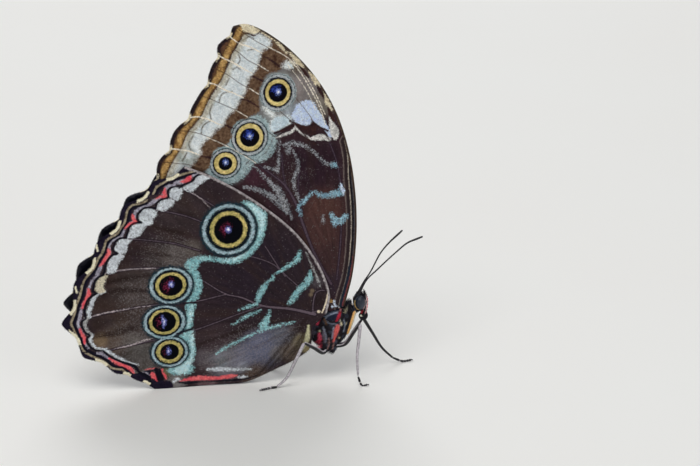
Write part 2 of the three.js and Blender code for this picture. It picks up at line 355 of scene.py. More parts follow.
def inside(x, z, loop):
    """Whether each point is in a closed loop."""
    odd = np.zeros(x.shape, bool)
    for (ax, az), (bx, bz) in zip(loop, np.roll(loop, -1, 0)):
        if az != bz:
            crosses = (az > z) != (bz > z)
            odd ^= crosses & (x < (bx - ax) * (z - az) / (bz - az) + ax)
    return odd


def near(x, z, shape, margin=3.0):
    """The points close enough to a shape to be worth measuring."""
    low, high = shape[:, :2].min(0) - margin, shape[:, :2].max(0) + margin
    return np.flatnonzero((x > low[0]) & (x < high[0]) & (z > low[1]) & (z < high[1]))


def lines(x, z, *paths):
    """Cover of smooth strokes. Each path is a list of (x, z, width)."""
    best = np.full(x.shape, FAR)
    for path in paths:
        line = curve(path)
        at = near(x, z, line)
        best[at] = np.maximum(best[at], cover_of_line(x[at], z[at], line))
    return best


def patches(x, z, *shapes):
    """Cover of closed shapes with smooth edges. Each shape is a list of (x, z)."""
    best = np.full(x.shape, FAR)
    for shape in shapes:
        loop = curve(shape, closed=True)
        at = near(x, z, loop)
        edge = gap_to_loop(x[at], z[at], loop)
        edge = np.where(inside(x[at], z[at], loop), edge, -edge)
        best[at] = np.maximum(best[at], edge)
    return best


def ovals(x, z, *shapes):
    """Cover of ovals. Each is (x, z, half width, half height)."""
    best = np.full(x.shape, FAR)
    for cx, cz, rx, rz in shapes:
        best = np.maximum(best, (1 - np.hypot((x - cx) / rx, (z - cz) / rz)) * min(rx, rz))
    return best


def rings(x, z, eyes):
    """Eyespots in bands from the middle out: up to 1 is the pupil, 1 to 2 the yellow ring, and so on.

    Each eye has the middle (x, z) and then the half width and half height of each band. Past the
    last one the number grows on by the distance.
    """
    best = np.full(x.shape, 9.0)
    for cx, cz, *radii in eyes:
        steps = [np.hypot((x - cx) / rx, (z - cz) / rz) for rx, rz in zip(radii[0::2], radii[1::2])]
        value = steps[0]
        for k in range(1, len(steps)):
            out = np.maximum(steps[k - 1] - 1, 0)
            part = out / np.maximum(out + np.maximum(1 - steps[k], 0), 1e-6)
            value = np.where(steps[k - 1] > 1, k + part, value)
        value = np.where(steps[-1] > 1, len(steps) + (steps[-1] - 1) * radii[-1], value)
        best = np.minimum(best, value)
    return best


def smooth(value, low, high):
    """From 0 at low to 1 at high, without corners."""
    t = np.clip((value - low) / (high - low), 0, 1)
    return t * t * (3 - 2 * t)


# ---------------------------------------------------------------- wing shapes, as in the part's source

HINGE = (16.0, 14.0)
LEFT_SCALE = 0.99
LEFT_TURN = (1.3, 3.8)
# Place along the body, how far the wings bow out there, and over what height the bow fades.
CLEARANCE = np.array([
    (-6, 0, 3.0), (0, 0.5, 3.0), (5, 1.1, 3.2), (12, 1.25, 3.5), (15, 1.7, 4.0), (18, 3.0, 4.6),
    (30, 3.0, 4.6),
])
BODY_ORIGIN = (0.0, 5.0)
PITCH = math.radians(20)
PITCH_COS, PITCH_SIN = math.cos(PITCH), math.sin(PITCH)

FOREWING_COSTA = [
    (20.9, 15.9), (22.7, 21.5), (23.6, 30), (23.4, 39), (22.1, 48), (19.6, 56.2),
    (15.6, 63.6), (9.8, 70.3), (4.4, 74.3), (1.5, 75.4), (-0.7, 75.1),
]
# Each vein end (x, z), then the depth of the bay after it and the share along it of its notch.
FOREWING_MARGIN = [
    (-0.7, 75.1, 0.7, 0.4), (-3.9, 71.2, 0.8, 0.42), (-5.4, 66.2, 0.72, 0.44), (-8.15, 60.4, 0.92, 0.54),
    (-12.7, 53.9, 1.0, 0.56), (-15.9, 47.8, 1.0, 0.5), (-18.3, 41.6, 0.8, 0.5), (-19.3, 36, 0, 0.5),
]
FOREWING_INNER = [(-19.3, 36), (-16, 33.2), (-2, 25.2), (10, 18.6), (17.9, 14.9)]
HINDWING_COSTA = [
    (17.2, 15), (18, 18), (16.9, 22.4), (14.4, 27.4), (11, 32), (6.6, 36.2), (0.3, 41), (-5.6, 44.6),
    (-10.7, 46.9),
]
HINDWING_MARGIN = [
    (-10.7, 46.9, 0.9, 0.46), (-17, 44.1, 1.2, 0.46), (-23.1, 39.2, 1.45, 0.5), (-28.4, 31.9, 1.45, 0.53),
    (-33.1, 23.7, 1.3, 0.56), (-35.9, 15, 0.9, 0.5), (-31.7, 7.7, 0.7, 0.5), (-25.3, 3.9, 0.45, 0.5),
    (-21.2, 2.2, 0.3, 0.5), (-17.5, 0, 0, 0.5),
]
HINDWING_INNER = [
    (-17.5, 0), (-13.5, 0), (-6, 0.2), (1, 0.45), (6.3, 2.6), (11.3, 5), (13.6, 6.9), (14.1, 9.2),
    (14.3, 12), (15.9, 13.9),
]


def scallops(margin, spacing, sharp):
    """The outer margin: a rounded lobe at each vein end and a notch in each bay. Rows (x, z, share)."""
    rows = []
    for (ax, az, depth, notch), (bx, bz, _, _) in zip(margin[:-1], margin[1:]):
        dx, dz = bx - ax, bz - az
        length = math.hypot(dx, dz)
        for part in np.linspace(0, 1, int(math.ceil(length / spacing)), endpoint=False):
            share = part ** (math.log(0.5) / math.log(notch))
            round_bay = math.sin(math.pi * share) ** 2
            sharp_bay = (2 * min(share, 1 - share)) ** 2.2
            bay = depth * (round_bay + (sharp_bay - round_bay) * sharp)
            rows.append((ax + dx * part - dz / length * bay, az + dz * part + dx / length * bay, share))
    rows = np.array(rows)
    reach = max(1, int(round(0.45 / spacing)))
    weights = np.hanning(2 * reach + 3)[1:-1]
    weights /= weights.sum()
    for column in (0, 1):
        row = rows[:, column]
        before = 2 * row[0] - row[1:reach + 1][::-1]
        after = 2 * row[-1] - row[-reach - 1:-1][::-1]
        rows[:, column] = np.convolve(np.concatenate([before, row, after]), weights, "valid")
    return rows


def wing_outline(costa, margin, inner, spacing, sharp):
    """The closed outline, and for each of its points the share of its bay, or -1 off the margin."""
    front = curve(costa, spacing)[:-1]
    bays = scallops(margin, spacing, sharp)
    back = curve(inner, spacing)
    share = np.concatenate([np.full(len(front), -1.0), bays[:, 2], np.full(len(back), -1.0)])
    return np.vstack([front, bays[:, :2], back]), share


def triangulate(loop, spacing):
    """Points and triangles that fill a loop, and which of the points are the loop's own."""
    low, high = loop.min(0), loop.max(0)
    rows = []
    for k, z in enumerate(np.arange(low[1], high[1], spacing * math.sqrt(3) / 2)):
        xs = np.arange(low[0] + (k % 2) * spacing / 2, high[0], spacing)
        rows.append(np.column_stack([xs, np.full(len(xs), z)]))
    grid = np.vstack(rows)
    x, z = grid.T
    points = np.vstack([loop, grid[inside(x, z, loop) & (gap_to_loop(x, z, loop) > spacing * 0.55)]])
    n = len(loop)
    edges = [(k, (k + 1) % n) for k in range(n)]
    made = delaunay_2d_cdt([Vector(p) for p in points.tolist()], edges, [], 1, 1e-7)
    order = np.array([ids[0] for ids in made[3]])
    rank = np.full(len(points), -1)
    rank[order] = np.arange(len(order))
    return np.array([(v.x, v.y) for v in made[0]]), np.array(made[2], int), rank[:n]


def along_body(x, z):
    """A place in the body's own slope: along it and up from it."""
    dx, dz = x - BODY_ORIGIN[0], z - BODY_ORIGIN[1]
    return dx * PITCH_COS + dz * PITCH_SIN, -dx * PITCH_SIN + dz * PITCH_COS


def clearance(x, z):
    """How far a wing bows out round the body."""
    u, v = along_body(x, z)
    k = np.clip(np.searchsorted(CLEARANCE[:, 0], u) - 1, 0, len(CLEARANCE) - 2)
    a, b = CLEARANCE[k], CLEARANCE[k + 1]
    t = smooth(u, a[:, 0], b[:, 0])
    amount = a[:, 1] + (b[:, 1] - a[:, 1]) * t
    fade = a[:, 2] + (b[:, 2] - a[:, 2]) * t
    return np.where(u <= CLEARANCE[0, 0], 0, amount * np.exp(-((v / fade) ** 2)))


def left_place(x, z, raised):
    """The left wings are a touch smaller, and the left hindwing is turned up a little."""
    dx, dz = (x - HINGE[0]) * LEFT_SCALE, (z - HINGE[1]) * LEFT_SCALE
    if not raised:
        return HINGE[0] + dx, HINGE[1] + dz
    direction = np.degrees(np.arctan2(dz, dx)) % 360
    angle = np.radians(LEFT_TURN[0] + (LEFT_TURN[1] - LEFT_TURN[0]) * smooth(direction, 140, 185))
    c, s = np.cos(angle), np.sin(angle)
    return HINGE[0] + dx * c + dz * s, HINGE[1] - dx * s + dz * c


# ---------------------------------------------------------------- hindwing markings (underside)
# Each row of the tables has the number that the paint reads, the way it is drawn and the shapes.

HIND_EYES = [
    (-2.25, 33.2, 3.02, 3.1, 3.72, 3.86, 4.55, 4.65, 5.3, 5.3, 5.85, 5.85),
    (-13.95, 22, 2.45, 2.25, 3.07, 2.8, 3.6, 3.35, 4.25, 3.75, 4.75, 4.2),
    (-15.4, 14.3, 2.45, 2.2, 3.05, 2.68, 3.55, 3.1, 4.2, 3.45, 4.6, 3.85),
    (-14.4, 7.85, 1.95, 1.75, 2.7, 2.4, 3.12, 2.8, 3.65, 3.2, 4.05, 3.5),
]
# The tan line that follows the margin, inside the fringe.
HIND_TAN = [
    (-8.6, 45.9), (-11, 45.3), (-12.5, 44.9), (-14, 44.3), (-15.3, 43.6), (-16.5, 42.8), (-17, 41.8),
    (-17.8, 40.7), (-18.8, 40), (-20, 39.6), (-21.2, 39.4), (-22.2, 38.5), (-22.6, 37.2), (-22.9, 35.9),
    (-23.8, 34.6), (-24.4, 33.6), (-25.6, 32.9), (-26.6, 32.2), (-27, 31), (-27.4, 29.8), (-28.3, 28.5),
    (-28.7, 27.6), (-29.3, 26.4), (-30.2, 25.3), (-31, 24.4), (-31.6, 23), (-31.9, 21.6), (-32.3, 20.2),
    (-32.9, 18.8), (-33.2, 17.3), (-33.7, 16), (-34, 15.2), (-33.6, 14), (-33.2, 13), (-32.8, 12),
    (-32.4, 10.8), (-32, 9.8), (-31.5, 9), (-30.4, 8.2), (-29.2, 7.5), (-28.2, 7), (-27.2, 6.2),
    (-26.3, 5.3), (-25.2, 4.8), (-24, 4.6), (-23.2, 3.8), (-22.6, 3.2),
]
HIND_MARKS = [
    ("pale", patches,
     [(-11.1, 42.5), (-10.3, 43.2), (-9.2, 43.6), (-8.7, 44.4), (-8, 44.9), (-6.5, 45), (-5.3, 44.8),
      (-6.2, 44.1), (-7.2, 43.5), (-8.1, 42.9), (-8.8, 42.1), (-9.6, 41.5), (-10.5, 41.9)],
     [(-11.5, 42.3), (-12.6, 42.8), (-13.5, 42.3), (-14, 41.5), (-13.7, 40.6), (-13, 40), (-12.1, 40),
      (-11.7, 40.8), (-11.3, 41.6)],
     [(-13.4, 40.2), (-14.9, 40.2), (-15.8, 39.8), (-16.5, 39), (-16.6, 38.4), (-15.8, 38), (-14.7, 38),
      (-13.8, 38.6), (-13, 39.5)],
     [(-17, 38.2), (-18, 38.7), (-19, 38.4), (-19.8, 37.7), (-20.2, 36.8), (-19.8, 36), (-19.2, 35.5),
      (-18.3, 35.1), (-17.5, 35.3), (-17.3, 36.2), (-16.6, 37), (-16.5, 37.7)],
     [(-19, 35.6), (-20.6, 35.4), (-21.6, 34.8), (-22, 33.8), (-22.5, 32.8), (-21.3, 32.6), (-20.2, 32.9),
      (-19.5, 33.7), (-18.9, 34.7), (-18.3, 35.2)],
     [(-22.9, 32.4), (-24, 32.3), (-24.6, 31.4), (-25, 30.5), (-24.8, 29.8), (-24.1, 29.3), (-23, 29.4),
      (-22.6, 30.3), (-22.4, 31.3), (-21.7, 32)],
     [(-24.3, 29.2), (-25.5, 28.8), (-26.2, 27.8), (-26.5, 26.5), (-26.7, 25.5), (-25.2, 25.4),
      (-24.6, 26.4), (-24.2, 27.6), (-23.2, 28.8)]),
    ("ivory", patches,
     [(-27.3, 24.9), (-28.3, 24.3), (-28.9, 23.3), (-29.1, 22.1), (-28.9, 21.3), (-28.1, 21.2), (-27, 21.7),
      (-27.4, 22.4), (-27.1, 23.6), (-26.6, 24.7)]),
    ("ash", lines,
     [(-31, 16, 0.9), (-31.3, 15, 0.8), (-31.2, 14, 0.7), (-30.7, 13, 0.6), (-30, 12.3, 0.3)],
     [(13.3, 27.4, 0.02), (14.5, 24.4, 0.18), (15.3, 22.4, 0.28), (15.9, 20.8, 0.22), (16.2, 19.9, 0.02)]),
    ("pale", lines,
     [(-27, 21.6, 0.3), (-28.6, 21, 0.5), (-29.5, 20, 0.65), (-29.9, 18.8, 0.75), (-30.4, 17.5, 0.8),
      (-30.5, 16.3, 0.7)],
     [(-29.8, 12.4, 0.4), (-30.3, 11.5, 0.7), (-30, 10.6, 0.6), (-29.5, 9.9, 0.5), (-28.7, 9.4, 0.4),
      (-27, 9.2, 0.2)], [(-6.8, 3.6, 0.3), (-4.6, 3.5, 0.9), (-2, 3.3, 0.5), (2, 3.1, 0.2)],
     [(-0.8, 1.6, 0.2), (0.2, 1.45, 0.55), (1.2, 1.6, 0.15)],
     [(-14, 1.1, 0.2), (-13, 1.9, 0.5), (-12.4, 1.6, 0.2)],
     [(-28.6, 9.2, 0.3), (-27.2, 8.9, 0.4), (-26.5, 8.4, 0.6), (-25.5, 7.7, 0.55), (-24.3, 6.9, 0.45),
      (-23, 6.2, 0.4), (-21.8, 5.7, 0.3), (-20.8, 5.4, 0.1)],
     [(-24.9, 4.4, 0.2), (-23.6, 3.9, 0.35), (-22.6, 3.2, 0.3)]),
    ("teal", patches,
     [(0.4, 38.7), (1.8, 38.9), (3.4, 37.9), (5.3, 36), (5.3, 34.2), (4.9, 32), (4.2, 30), (2.6, 28),
      (0.8, 26.6), (-0.8, 26), (-2.6, 26), (-4.4, 26.5), (-6.4, 26.8), (-7.9, 26.6), (-8.4, 25.6),
      (-9.4, 24.7), (-11.1, 26), (-10.4, 27.2), (-8.6, 27.8), (-6.5, 27.8), (-4.5, 27.3), (-2.5, 27.2),
      (-0.6, 27.4), (1.2, 28.4), (2.6, 30), (3.4, 32), (3.5, 33.8), (3, 35.4), (2.2, 36.8), (1.2, 38)],
     [(-8.6, 24.8), (-7.9, 23), (-7.7, 21.3), (-8.2, 19.8), (-9, 18.6), (-10.9, 18.4), (-10.2, 19.5),
      (-9.6, 21), (-9.5, 22.6), (-10, 24), (-10.9, 25.1)],
     [(-9.1, 17.7), (-9.4, 16.4), (-9.7, 14.8), (-9.9, 12.7), (-11.9, 12.5), (-11.3, 14), (-11.1, 15.5),
      (-11, 17), (-10.9, 17.9)],
     [(-10, 12.2), (-9.6, 10), (-9.3, 8), (-9.5, 6.2), (-10.1, 4.9), (-9.6, 4.2), (-10, 3.1), (-12, 2.8),
      (-13.8, 2.9), (-14.7, 3.6), (-14.7, 4.4), (-13.2, 4.8), (-12, 5.6), (-11.2, 6.8), (-11.1, 8.5),
      (-11.7, 10), (-12.4, 11.1)]),
    ("teal", lines,
     [(12, 27.8, 0.3), (11.8, 26.6, 1), (11, 25.6, 0.9), (9.6, 24.8, 0.65), (8.2, 23.9, 0.5),
      (7.3, 23.4, 0.2)],
     [(6.7, 23, 0.3), (6.4, 22.2, 0.6), (5.4, 21.6, 0.35), (4.9, 20.8, 0.8), (4.2, 19.6, 1.2),
      (3.7, 18.4, 0.9), (3.2, 17, 0.35)],
     [(14.1, 23.4, 0.3), (13.9, 21.8, 1.2), (13, 20.6, 1.25), (11.9, 19.6, 1.15), (11.1, 18.5, 1.2),
      (10.4, 17.5, 1.1), (9.8, 16.7, 0.4)],
     [(5.9, 15.4, 0.2), (5.6, 14.4, 0.7), (5.1, 13.2, 1.3), (4.6, 12.3, 1.8)],
     [(4, 15.7, 0.2), (2.6, 15.1, 0.5), (0.6, 14.2, 0.5), (-0.6, 13.4, 0.3), (-1.8, 12.9, 0.1)],
     [(3.3, 17, 0.5), (1.6, 16.6, 0.4), (-0.4, 15.9, 0.15)],
     [(-5, 6.8, 0.15), (-3.6, 7.7, 0.5), (-1, 9.1, 0.45), (2, 10.4, 0.35), (5, 11.6, 0.5), (8, 12.2, 0.35),
      (11, 12.7, 0.1)]),
    ("glow", lines,
     [(1.8, 38.3, 0.2), (3.4, 37, 1.2), (4.4, 35.4, 1.2), (4.4, 33.6, 0.7), (4, 31.6, 0.2)],
     [(-9.7, 12.2, 0.1), (-9.9, 10.4, 0.7), (-9.9, 7.6, 0.5), (-10.4, 5.4, 0.9), (-11.6, 4.1, 1.9),
      (-13.4, 3.7, 0.6)], [(-9.9, 17.6, 0.1), (-10.2, 14.6, 0.5), (-10.8, 12.9, 0.3)],
     [(-3.5, 26.8, 0.1), (-0.8, 27, 0.5), (1, 28, 0.2)]),
    ("black", lines,
     wide(0.36, (-7, 45.3), (-8.6, 44.8), (-9.2, 43.9), (-10.2, 43.4), (-11.3, 43), (-12, 42.5)),
     wide(0.3, (-12.2, 42.8), (-13.5, 42.7), (-14.2, 42), (-14.2, 40.6), (-15, 40.4), (-16, 40),
          (-16.6, 39.3), (-16.7, 38.5)),
     wide(0.34, (-16.8, 38.5), (-19, 38.7), (-19.8, 38), (-20.4, 37), (-20.4, 36.2), (-19.6, 35.6),
          (-21, 35.6), (-22, 34.9), (-22.4, 33.7), (-22.7, 32.8)),
     wide(0.38, (-22.8, 32.6), (-23.8, 32.6), (-24.8, 32), (-25.2, 31), (-25.4, 30.1), (-24.5, 29.4),
          (-25.6, 29.1), (-26.4, 28.2), (-26.9, 27.2), (-27.1, 26), (-27.4, 25.2)),
     wide(0.4, (-27.4, 25), (-28.4, 24.6), (-29.1, 23.7), (-29.4, 22.6), (-29.5, 21.7), (-28.8, 21.2),
          (-29.8, 20.7), (-30.6, 19.9), (-31.1, 18.6), (-31.3, 17.2), (-31.1, 16.2)),
     wide(0.36, (-31.1, 16), (-31.8, 15.4), (-31.9, 14.6), (-31.6, 13.8), (-31.2, 13), (-30.3, 12.3),
          (-31, 11.6), (-30.9, 11), (-30.5, 10.2), (-30, 9.6), (-29.3, 9.1), (-28, 9)),
     wide(0.3, (-31.6, 8.8), (-29.3, 8.7)),
     [(-20.5, 3.6, 0.4), (-19.2, 2.9, 0.6), (-18.6, 2, 0.8), (-18.3, 1.2, 0.6)],
     [(-18.6, 3.7, 0.2), (-17.6, 4.1, 0.3), (-16.6, 4.2, 0.3), (-16.2, 3, 0.6), (-15.9, 2, 0.5)],
     [(-27.8, 9, 0.3), (-27.2, 8.3, 0.4), (-25.5, 7, 0.4), (-23.5, 6, 0.5), (-22.2, 5.5, 0.6),
      (-21.3, 5, 0.7), (-20.7, 4, 0.5), (-19.3, 3.2, 0.4), (-18.7, 2.7, 0.4)],
     [(-17.2, 4.3, 0.7), (-16.9, 3.2, 0.9), (-16.6, 2.2, 1)],
     [(-12.8, 1.2, 0.25), (-11.4, 0.95, 0.4), (-7, 0.98, 0.2), (-2, 0.95, 0.34), (0.6, 1, 0.28),
      (3, 1.6, 0.2)], wide(0.3, (-12, 18.1), (-9, 18.1)), wide(0.3, (-13, 11.6), (-9.8, 12.5))),
    ("dark", patches,
     [(-18.8, 1.7), (-18.6, 0.6), (-18, -0.5), (-15, -0.6), (-13.9, 0.1), (-13.9, 1), (-14.6, 1.6),
      (-15.4, 1.5), (-16.2, 2), (-16.9, 1.6), (-17.8, 2)]),
    ("lilac", lines,
     [(-7.8, 45.4, 0.5), (-9.5, 44.9, 0.9), (-10.5, 44.1, 1), (-11.8, 43.7, 1), (-12.8, 43.5, 0.8)],
     [(-12.9, 43.1, 0.6), (-14.2, 43, 0.8), (-14.9, 42.1, 0.8), (-15.1, 41.3, 0.8), (-16, 40.6, 0.7),
      (-17.2, 39.9, 1), (-17.9, 39.3, 0.9)],
     [(-18, 39.2, 0.7), (-19.4, 38.9, 0.7), (-20.4, 38.3, 0.8), (-21, 37.4, 0.7), (-21, 36.3, 0.8),
      (-21.9, 35.5, 0.7), (-22.9, 34.6, 0.7), (-23.4, 33.6, 0.8), (-23.6, 32.9, 0.8)],
     [(-24, 32.9, 0.6), (-25.2, 32.4, 0.7), (-25.9, 31.4, 0.6), (-26.2, 30.4, 0.7), (-26.1, 29.4, 0.9),
      (-27, 28.3, 0.7), (-27.8, 27.1, 0.7), (-28.2, 26.1, 0.9), (-28.6, 25.3, 0.8)],
     [(-28.4, 25, 0.6), (-29.4, 24.3, 0.7), (-30, 23.2, 0.6), (-30.4, 22.2, 0.7), (-30.4, 21.1, 0.9),
      (-31.1, 19.8, 0.7), (-31.7, 18.6, 0.7), (-32.1, 17.3, 0.8), (-32.3, 16.2, 0.9)],
     [(-32.3, 16, 0.7), (-32.7, 15, 0.7), (-32.4, 14, 0.7), (-31.9, 13, 0.7), (-31.5, 12, 0.7),
      (-31.5, 11, 0.7), (-31.1, 10.2, 0.6), (-30.6, 9.6, 0.6)],
     [(-28.9, 8.5, 0.7), (-27.8, 8.1, 0.8), (-26.8, 7.3, 0.6), (-25.8, 6.7, 0.7), (-24.3, 5.9, 0.7),
      (-23, 5.2, 0.7), (-22, 4.4, 0.7), (-21.6, 3.9, 0.4)],
     [(-20, 3.8, 0.3), (-19, 3.5, 0.5), (-18.5, 2.9, 0.3)]),
    ("red", lines,
     [(-9.6, 44.9, 0.5), (-10.2, 44.2, 1.1), (-11, 43.8, 0.7), (-11.7, 43.8, 0.3)],
     [(-14.8, 42.5, 0.5), (-15, 41.5, 0.8), (-14.9, 40.9, 0.9), (-15.8, 40.9, 0.6), (-16.7, 40.4, 0.3)],
     [(-21.3, 37.3, 0.5), (-21.1, 36.3, 0.8), (-20.8, 35.9, 0.8), (-22, 35.4, 0.7), (-22.9, 34.7, 0.6)],
     [(-26.3, 30.4, 0.6), (-26.2, 29.5, 0.9), (-26.9, 28.5, 0.8), (-27.6, 27.5, 0.6), (-28, 27, 0.4)],
     [(-30.4, 22.2, 0.5), (-30.3, 21.2, 0.9), (-31, 20, 0.7), (-31.5, 18.9, 0.6), (-31.8, 18.2, 0.4)],
     [(-32.3, 13.8, 0.5), (-31.9, 12.8, 0.6), (-31.5, 11.9, 0.8), (-31.4, 11, 0.6), (-31.4, 10.5, 0.4)],
     [(-26.5, 7.2, 0.4), (-25.3, 6.3, 0.7), (-24, 5.6, 0.8), (-22.8, 5, 0.8), (-22, 4.3, 0.7),
      (-21.7, 3.8, 0.4)], [(-18, 3.7, 0.3), (-17.8, 3, 1.1), (-17.3, 2.4, 0.9), (-17, 1.7, 0.2)],
     [(-16, 4.2, 0.35), (-15.9, 3.4, 0.5), (-15.4, 2.8, 0.6), (-15.2, 2, 0.3)],
     [(-12.6, 1.3, 0.1), (-11, 1.7, 0.7), (-8, 1.8, 1), (-5, 1.6, 0.75), (-2, 1.85, 0.9),
      (-0.8, 1.85, 0.35)], [(-19.4, 4.3, 0.1), (-18, 4.5, 0.3), (-16.8, 4.5, 0.2)]),
    ("cream", lines,
     [(-31, 26.2, 0.3), (-30, 27.2, 0.55), (-28.9, 28.7, 0.3)],
     [(-34.6, 17.4, 0.3), (-33.9, 18.3, 0.5), (-33, 19.4, 0.25)], wide(0.4, (-28.7, 31.5), (-28.4, 30.2)),
     wide(0.4, (-33, 22.8), (-32.7, 21.6)), wide(0.3, (-34.4, 13.7), (-33.6, 12.6))),
    ("silver", lines,
     [(-31, 16.1, 0.1), (-28, 16.8, 0.2), (-24, 17.4, 0.18), (-18, 18, 0.1)],
     [(-25.5, 9.2, 0.1), (-23.6, 9.5, 0.24), (-21.5, 10, 0.3), (-19, 10.7, 0.3), (-17.6, 11, 0.1)],
     [(-27, 25.3, 0.12), (-23, 25.9, 0.22), (-17, 25.9, 0.12)],
     [(-5.5, 37.4, 0.1), (-7.5, 39.8, 0.2), (-9.5, 41.4, 0.12)]),
    ("buff", lines,
     [(11.7, 5.9, 0.3), (12.6, 7.2, 0.8), (13.3, 8.6, 0.95), (13.65, 10.4, 0.75), (13.7, 11.8, 0.4)]),
    ("strap", lines, [(17.75, 19.2, 0.2), (17.5, 17.4, 0.36), (17.05, 15.8, 0.36), (16.5, 14.4, 0.24)]),
    ("strap", ovals, (15.8, 14.7, 0.36, 0.3)),
    ("vein", lines,
     [(15, 14.2, 0.6), (10, 15.6, 0.46), (4.4, 16.6, 0.36), (0, 18.7, 0.26), (-2.8, 19.5, 0.22),
      (-8, 23, 0.16)],
     wide(0.18, (-2.8, 19.5), (-9.3, 18.3), (-18, 18), (-25, 17.2), (-30, 16.3), (-35, 15)),
     wide(0.18, (4.2, 16.5), (1.5, 15.7), (-2, 14.6), (-9, 12.3), (-18, 10.5), (-24.7, 9.3), (-31, 8)),
     wide(0.16, (12, 20), (8, 24), (6.7, 25.3), (2, 27.3), (-3, 28.4)),
     wide(0.14, (9, 22.6), (7.7, 24.7), (5, 29.3)),
     wide(0.16, (-7.3, 35), (-11, 36.6), (-16, 38), (-20.7, 38.7)),
     wide(0.16, (-8, 29), (-13, 30.8), (-17.3, 31.7), (-22, 32.3), (-28, 32)),
     wide(0.16, (-10, 24.9), (-16, 25.8), (-21.3, 26), (-26.7, 25.3), (-32, 24)),
     wide(0.16, (-4.7, 38), (-8, 40.3), (-11.3, 42.3)),
     wide(0.2, (14.6, 14.8), (14.7, 16.6), (15.3, 18.8), (16.3, 19.2), (17, 19.1)),
     wide(0.24, (14.7, 14.6), (15.6, 14.9))),
    ("fold", lines,
     wide(0.4, (4.6, 1.6), (8.4, 6), (12.8, 12.8)),
     [(13.4, 13.3, 0.2), (11, 11, 0.36), (8.6, 8.2, 0.4), (6.2, 5.2, 0.34), (4, 2.6, 0.3), (2, 1.2, 0.2)],
     [(-28.4, 20.6, 0.5), (-25, 21.6, 0.8), (-20, 21.7, 0.2)],
     [(-30, 12.6, 0.3), (-27, 12.5, 0.5), (-22, 13.8, 0.2)],
     [(-26.4, 23.4, 0.8), (-23, 24, 1), (-18, 24.4, 0.2)], wide(0.3, (9.6, 4.4), (11.6, 7), (12.8, 9.6)),
     wide(0.7, (-28.3, 21.1), (-24, 21.3), (-19, 21.2)),
     wide(0.6, (-29.6, 11.9), (-25.5, 12.3), (-21, 13.4)), wide(0.5, (-17, 34.7), (-15, 34), (-11.5, 32.8)),
     wide(0.4, (-22.6, 29.1), (-19, 28.9), (-14, 28.4)), wide(0.3, (-12, 37.5), (-9.5, 36.6)),
     wide(0.4, (-24, 24.4), (-19, 24.3)), wide(0.5, (-9, 8.9), (-3, 10.7), (3, 12.4), (10, 13.3)),
     wide(0.4, (12.6, 11.6), (8.6, 8), (5.8, 4.4), (3.2, 1.4)), wide(0.3, (12.8, 10.6), (11, 7), (8.5, 4.6))),
    ("spark", ovals, (-2.35, 33.2, 0.42, 0.5), (-13.85, 22.2, 0.38, 0.45), (-14.6, 8, 0.32, 0.5)),
    ("spark", lines, [(-15.8, 15.5, 0.1), (-15.4, 14.5, 0.62), (-15.6, 13.2, 0.15)]),
    ("ember", ovals,
     (-3.1, 33.2, 1, 1.5), (-14.8, 21.8, 1, 1.5), (-16.4, 14.3, 0.75, 1.6), (-15.3, 8, 0.6, 1.2),
     (-2.3, 34.2, 1, 0.7), (-13.9, 23.2, 0.9, 0.6)),
]


def draw_marks(x, z, marks, eyes):
    """The numbers that a wing's paint reads, from its tables."""
    stored = {"ring": rings(x, z, eyes)}
    for name, draw, *shapes in marks:
        cover = draw(x, z, *shapes)
        stored[name] = np.maximum(stored[name], cover) if name in stored else cover
    return stored


def hindwing_marks(x, z, edge, bay, costal):
    """The tables' numbers and the bands that follow the margin. edge is the distance to the outline."""
    stored = draw_marks(x, z, HIND_MARKS, HIND_EYES)
    tan_line = curve(HIND_TAN)
    tan = cover_of_line(x, z, wide(0.46, *tan_line))
    middle = np.vstack([tan_line, [(-17.5, 4.5), (-10, 3), (10, 10), (10, 30), (2, 42), (-5.6, 47)]])
    depth = np.where(inside(x, z, middle), 0.28 - tan, tan - 0.28)
    band = smooth(x, -17.4, -19.5) + smooth(z, 40, 43)
    banded = (band - 0.4) * 3
    stored["dark"] = np.maximum(stored["dark"], np.minimum(0.95 - depth, banded))
    stored["black"] = np.maximum(stored["black"], np.minimum(0.19 - np.abs(depth - 0.46), banded))
    stored["cream"] = np.maximum(stored["cream"], np.minimum(0.5 - edge, 2.2 - np.abs(bay - 0.5) * 12))
    stored["tan"] = np.where(band > 0.4, tan, FAR)
    stored["costa"] = costal
    return stored


# ---------------------------------------------------------------- forewing markings (underside)

FORE_EYES = [
    (7.9, 61, 1.9, 2, 2.5, 2.78, 2.9, 3.2, 3.5, 3.8, 3.52, 3.82, 3.54, 3.84),
    (2.25, 52, 1.97, 1.98, 2.69, 2.87, 3.05, 3.2, 3.5, 3.75, 3.68, 3.93, 4.5, 4.75),
    (-2.65, 46.8, 1.4, 1.45, 2.27, 2.32, 2.52, 2.57, 3, 3, 3.16, 3.16, 4, 4),
]
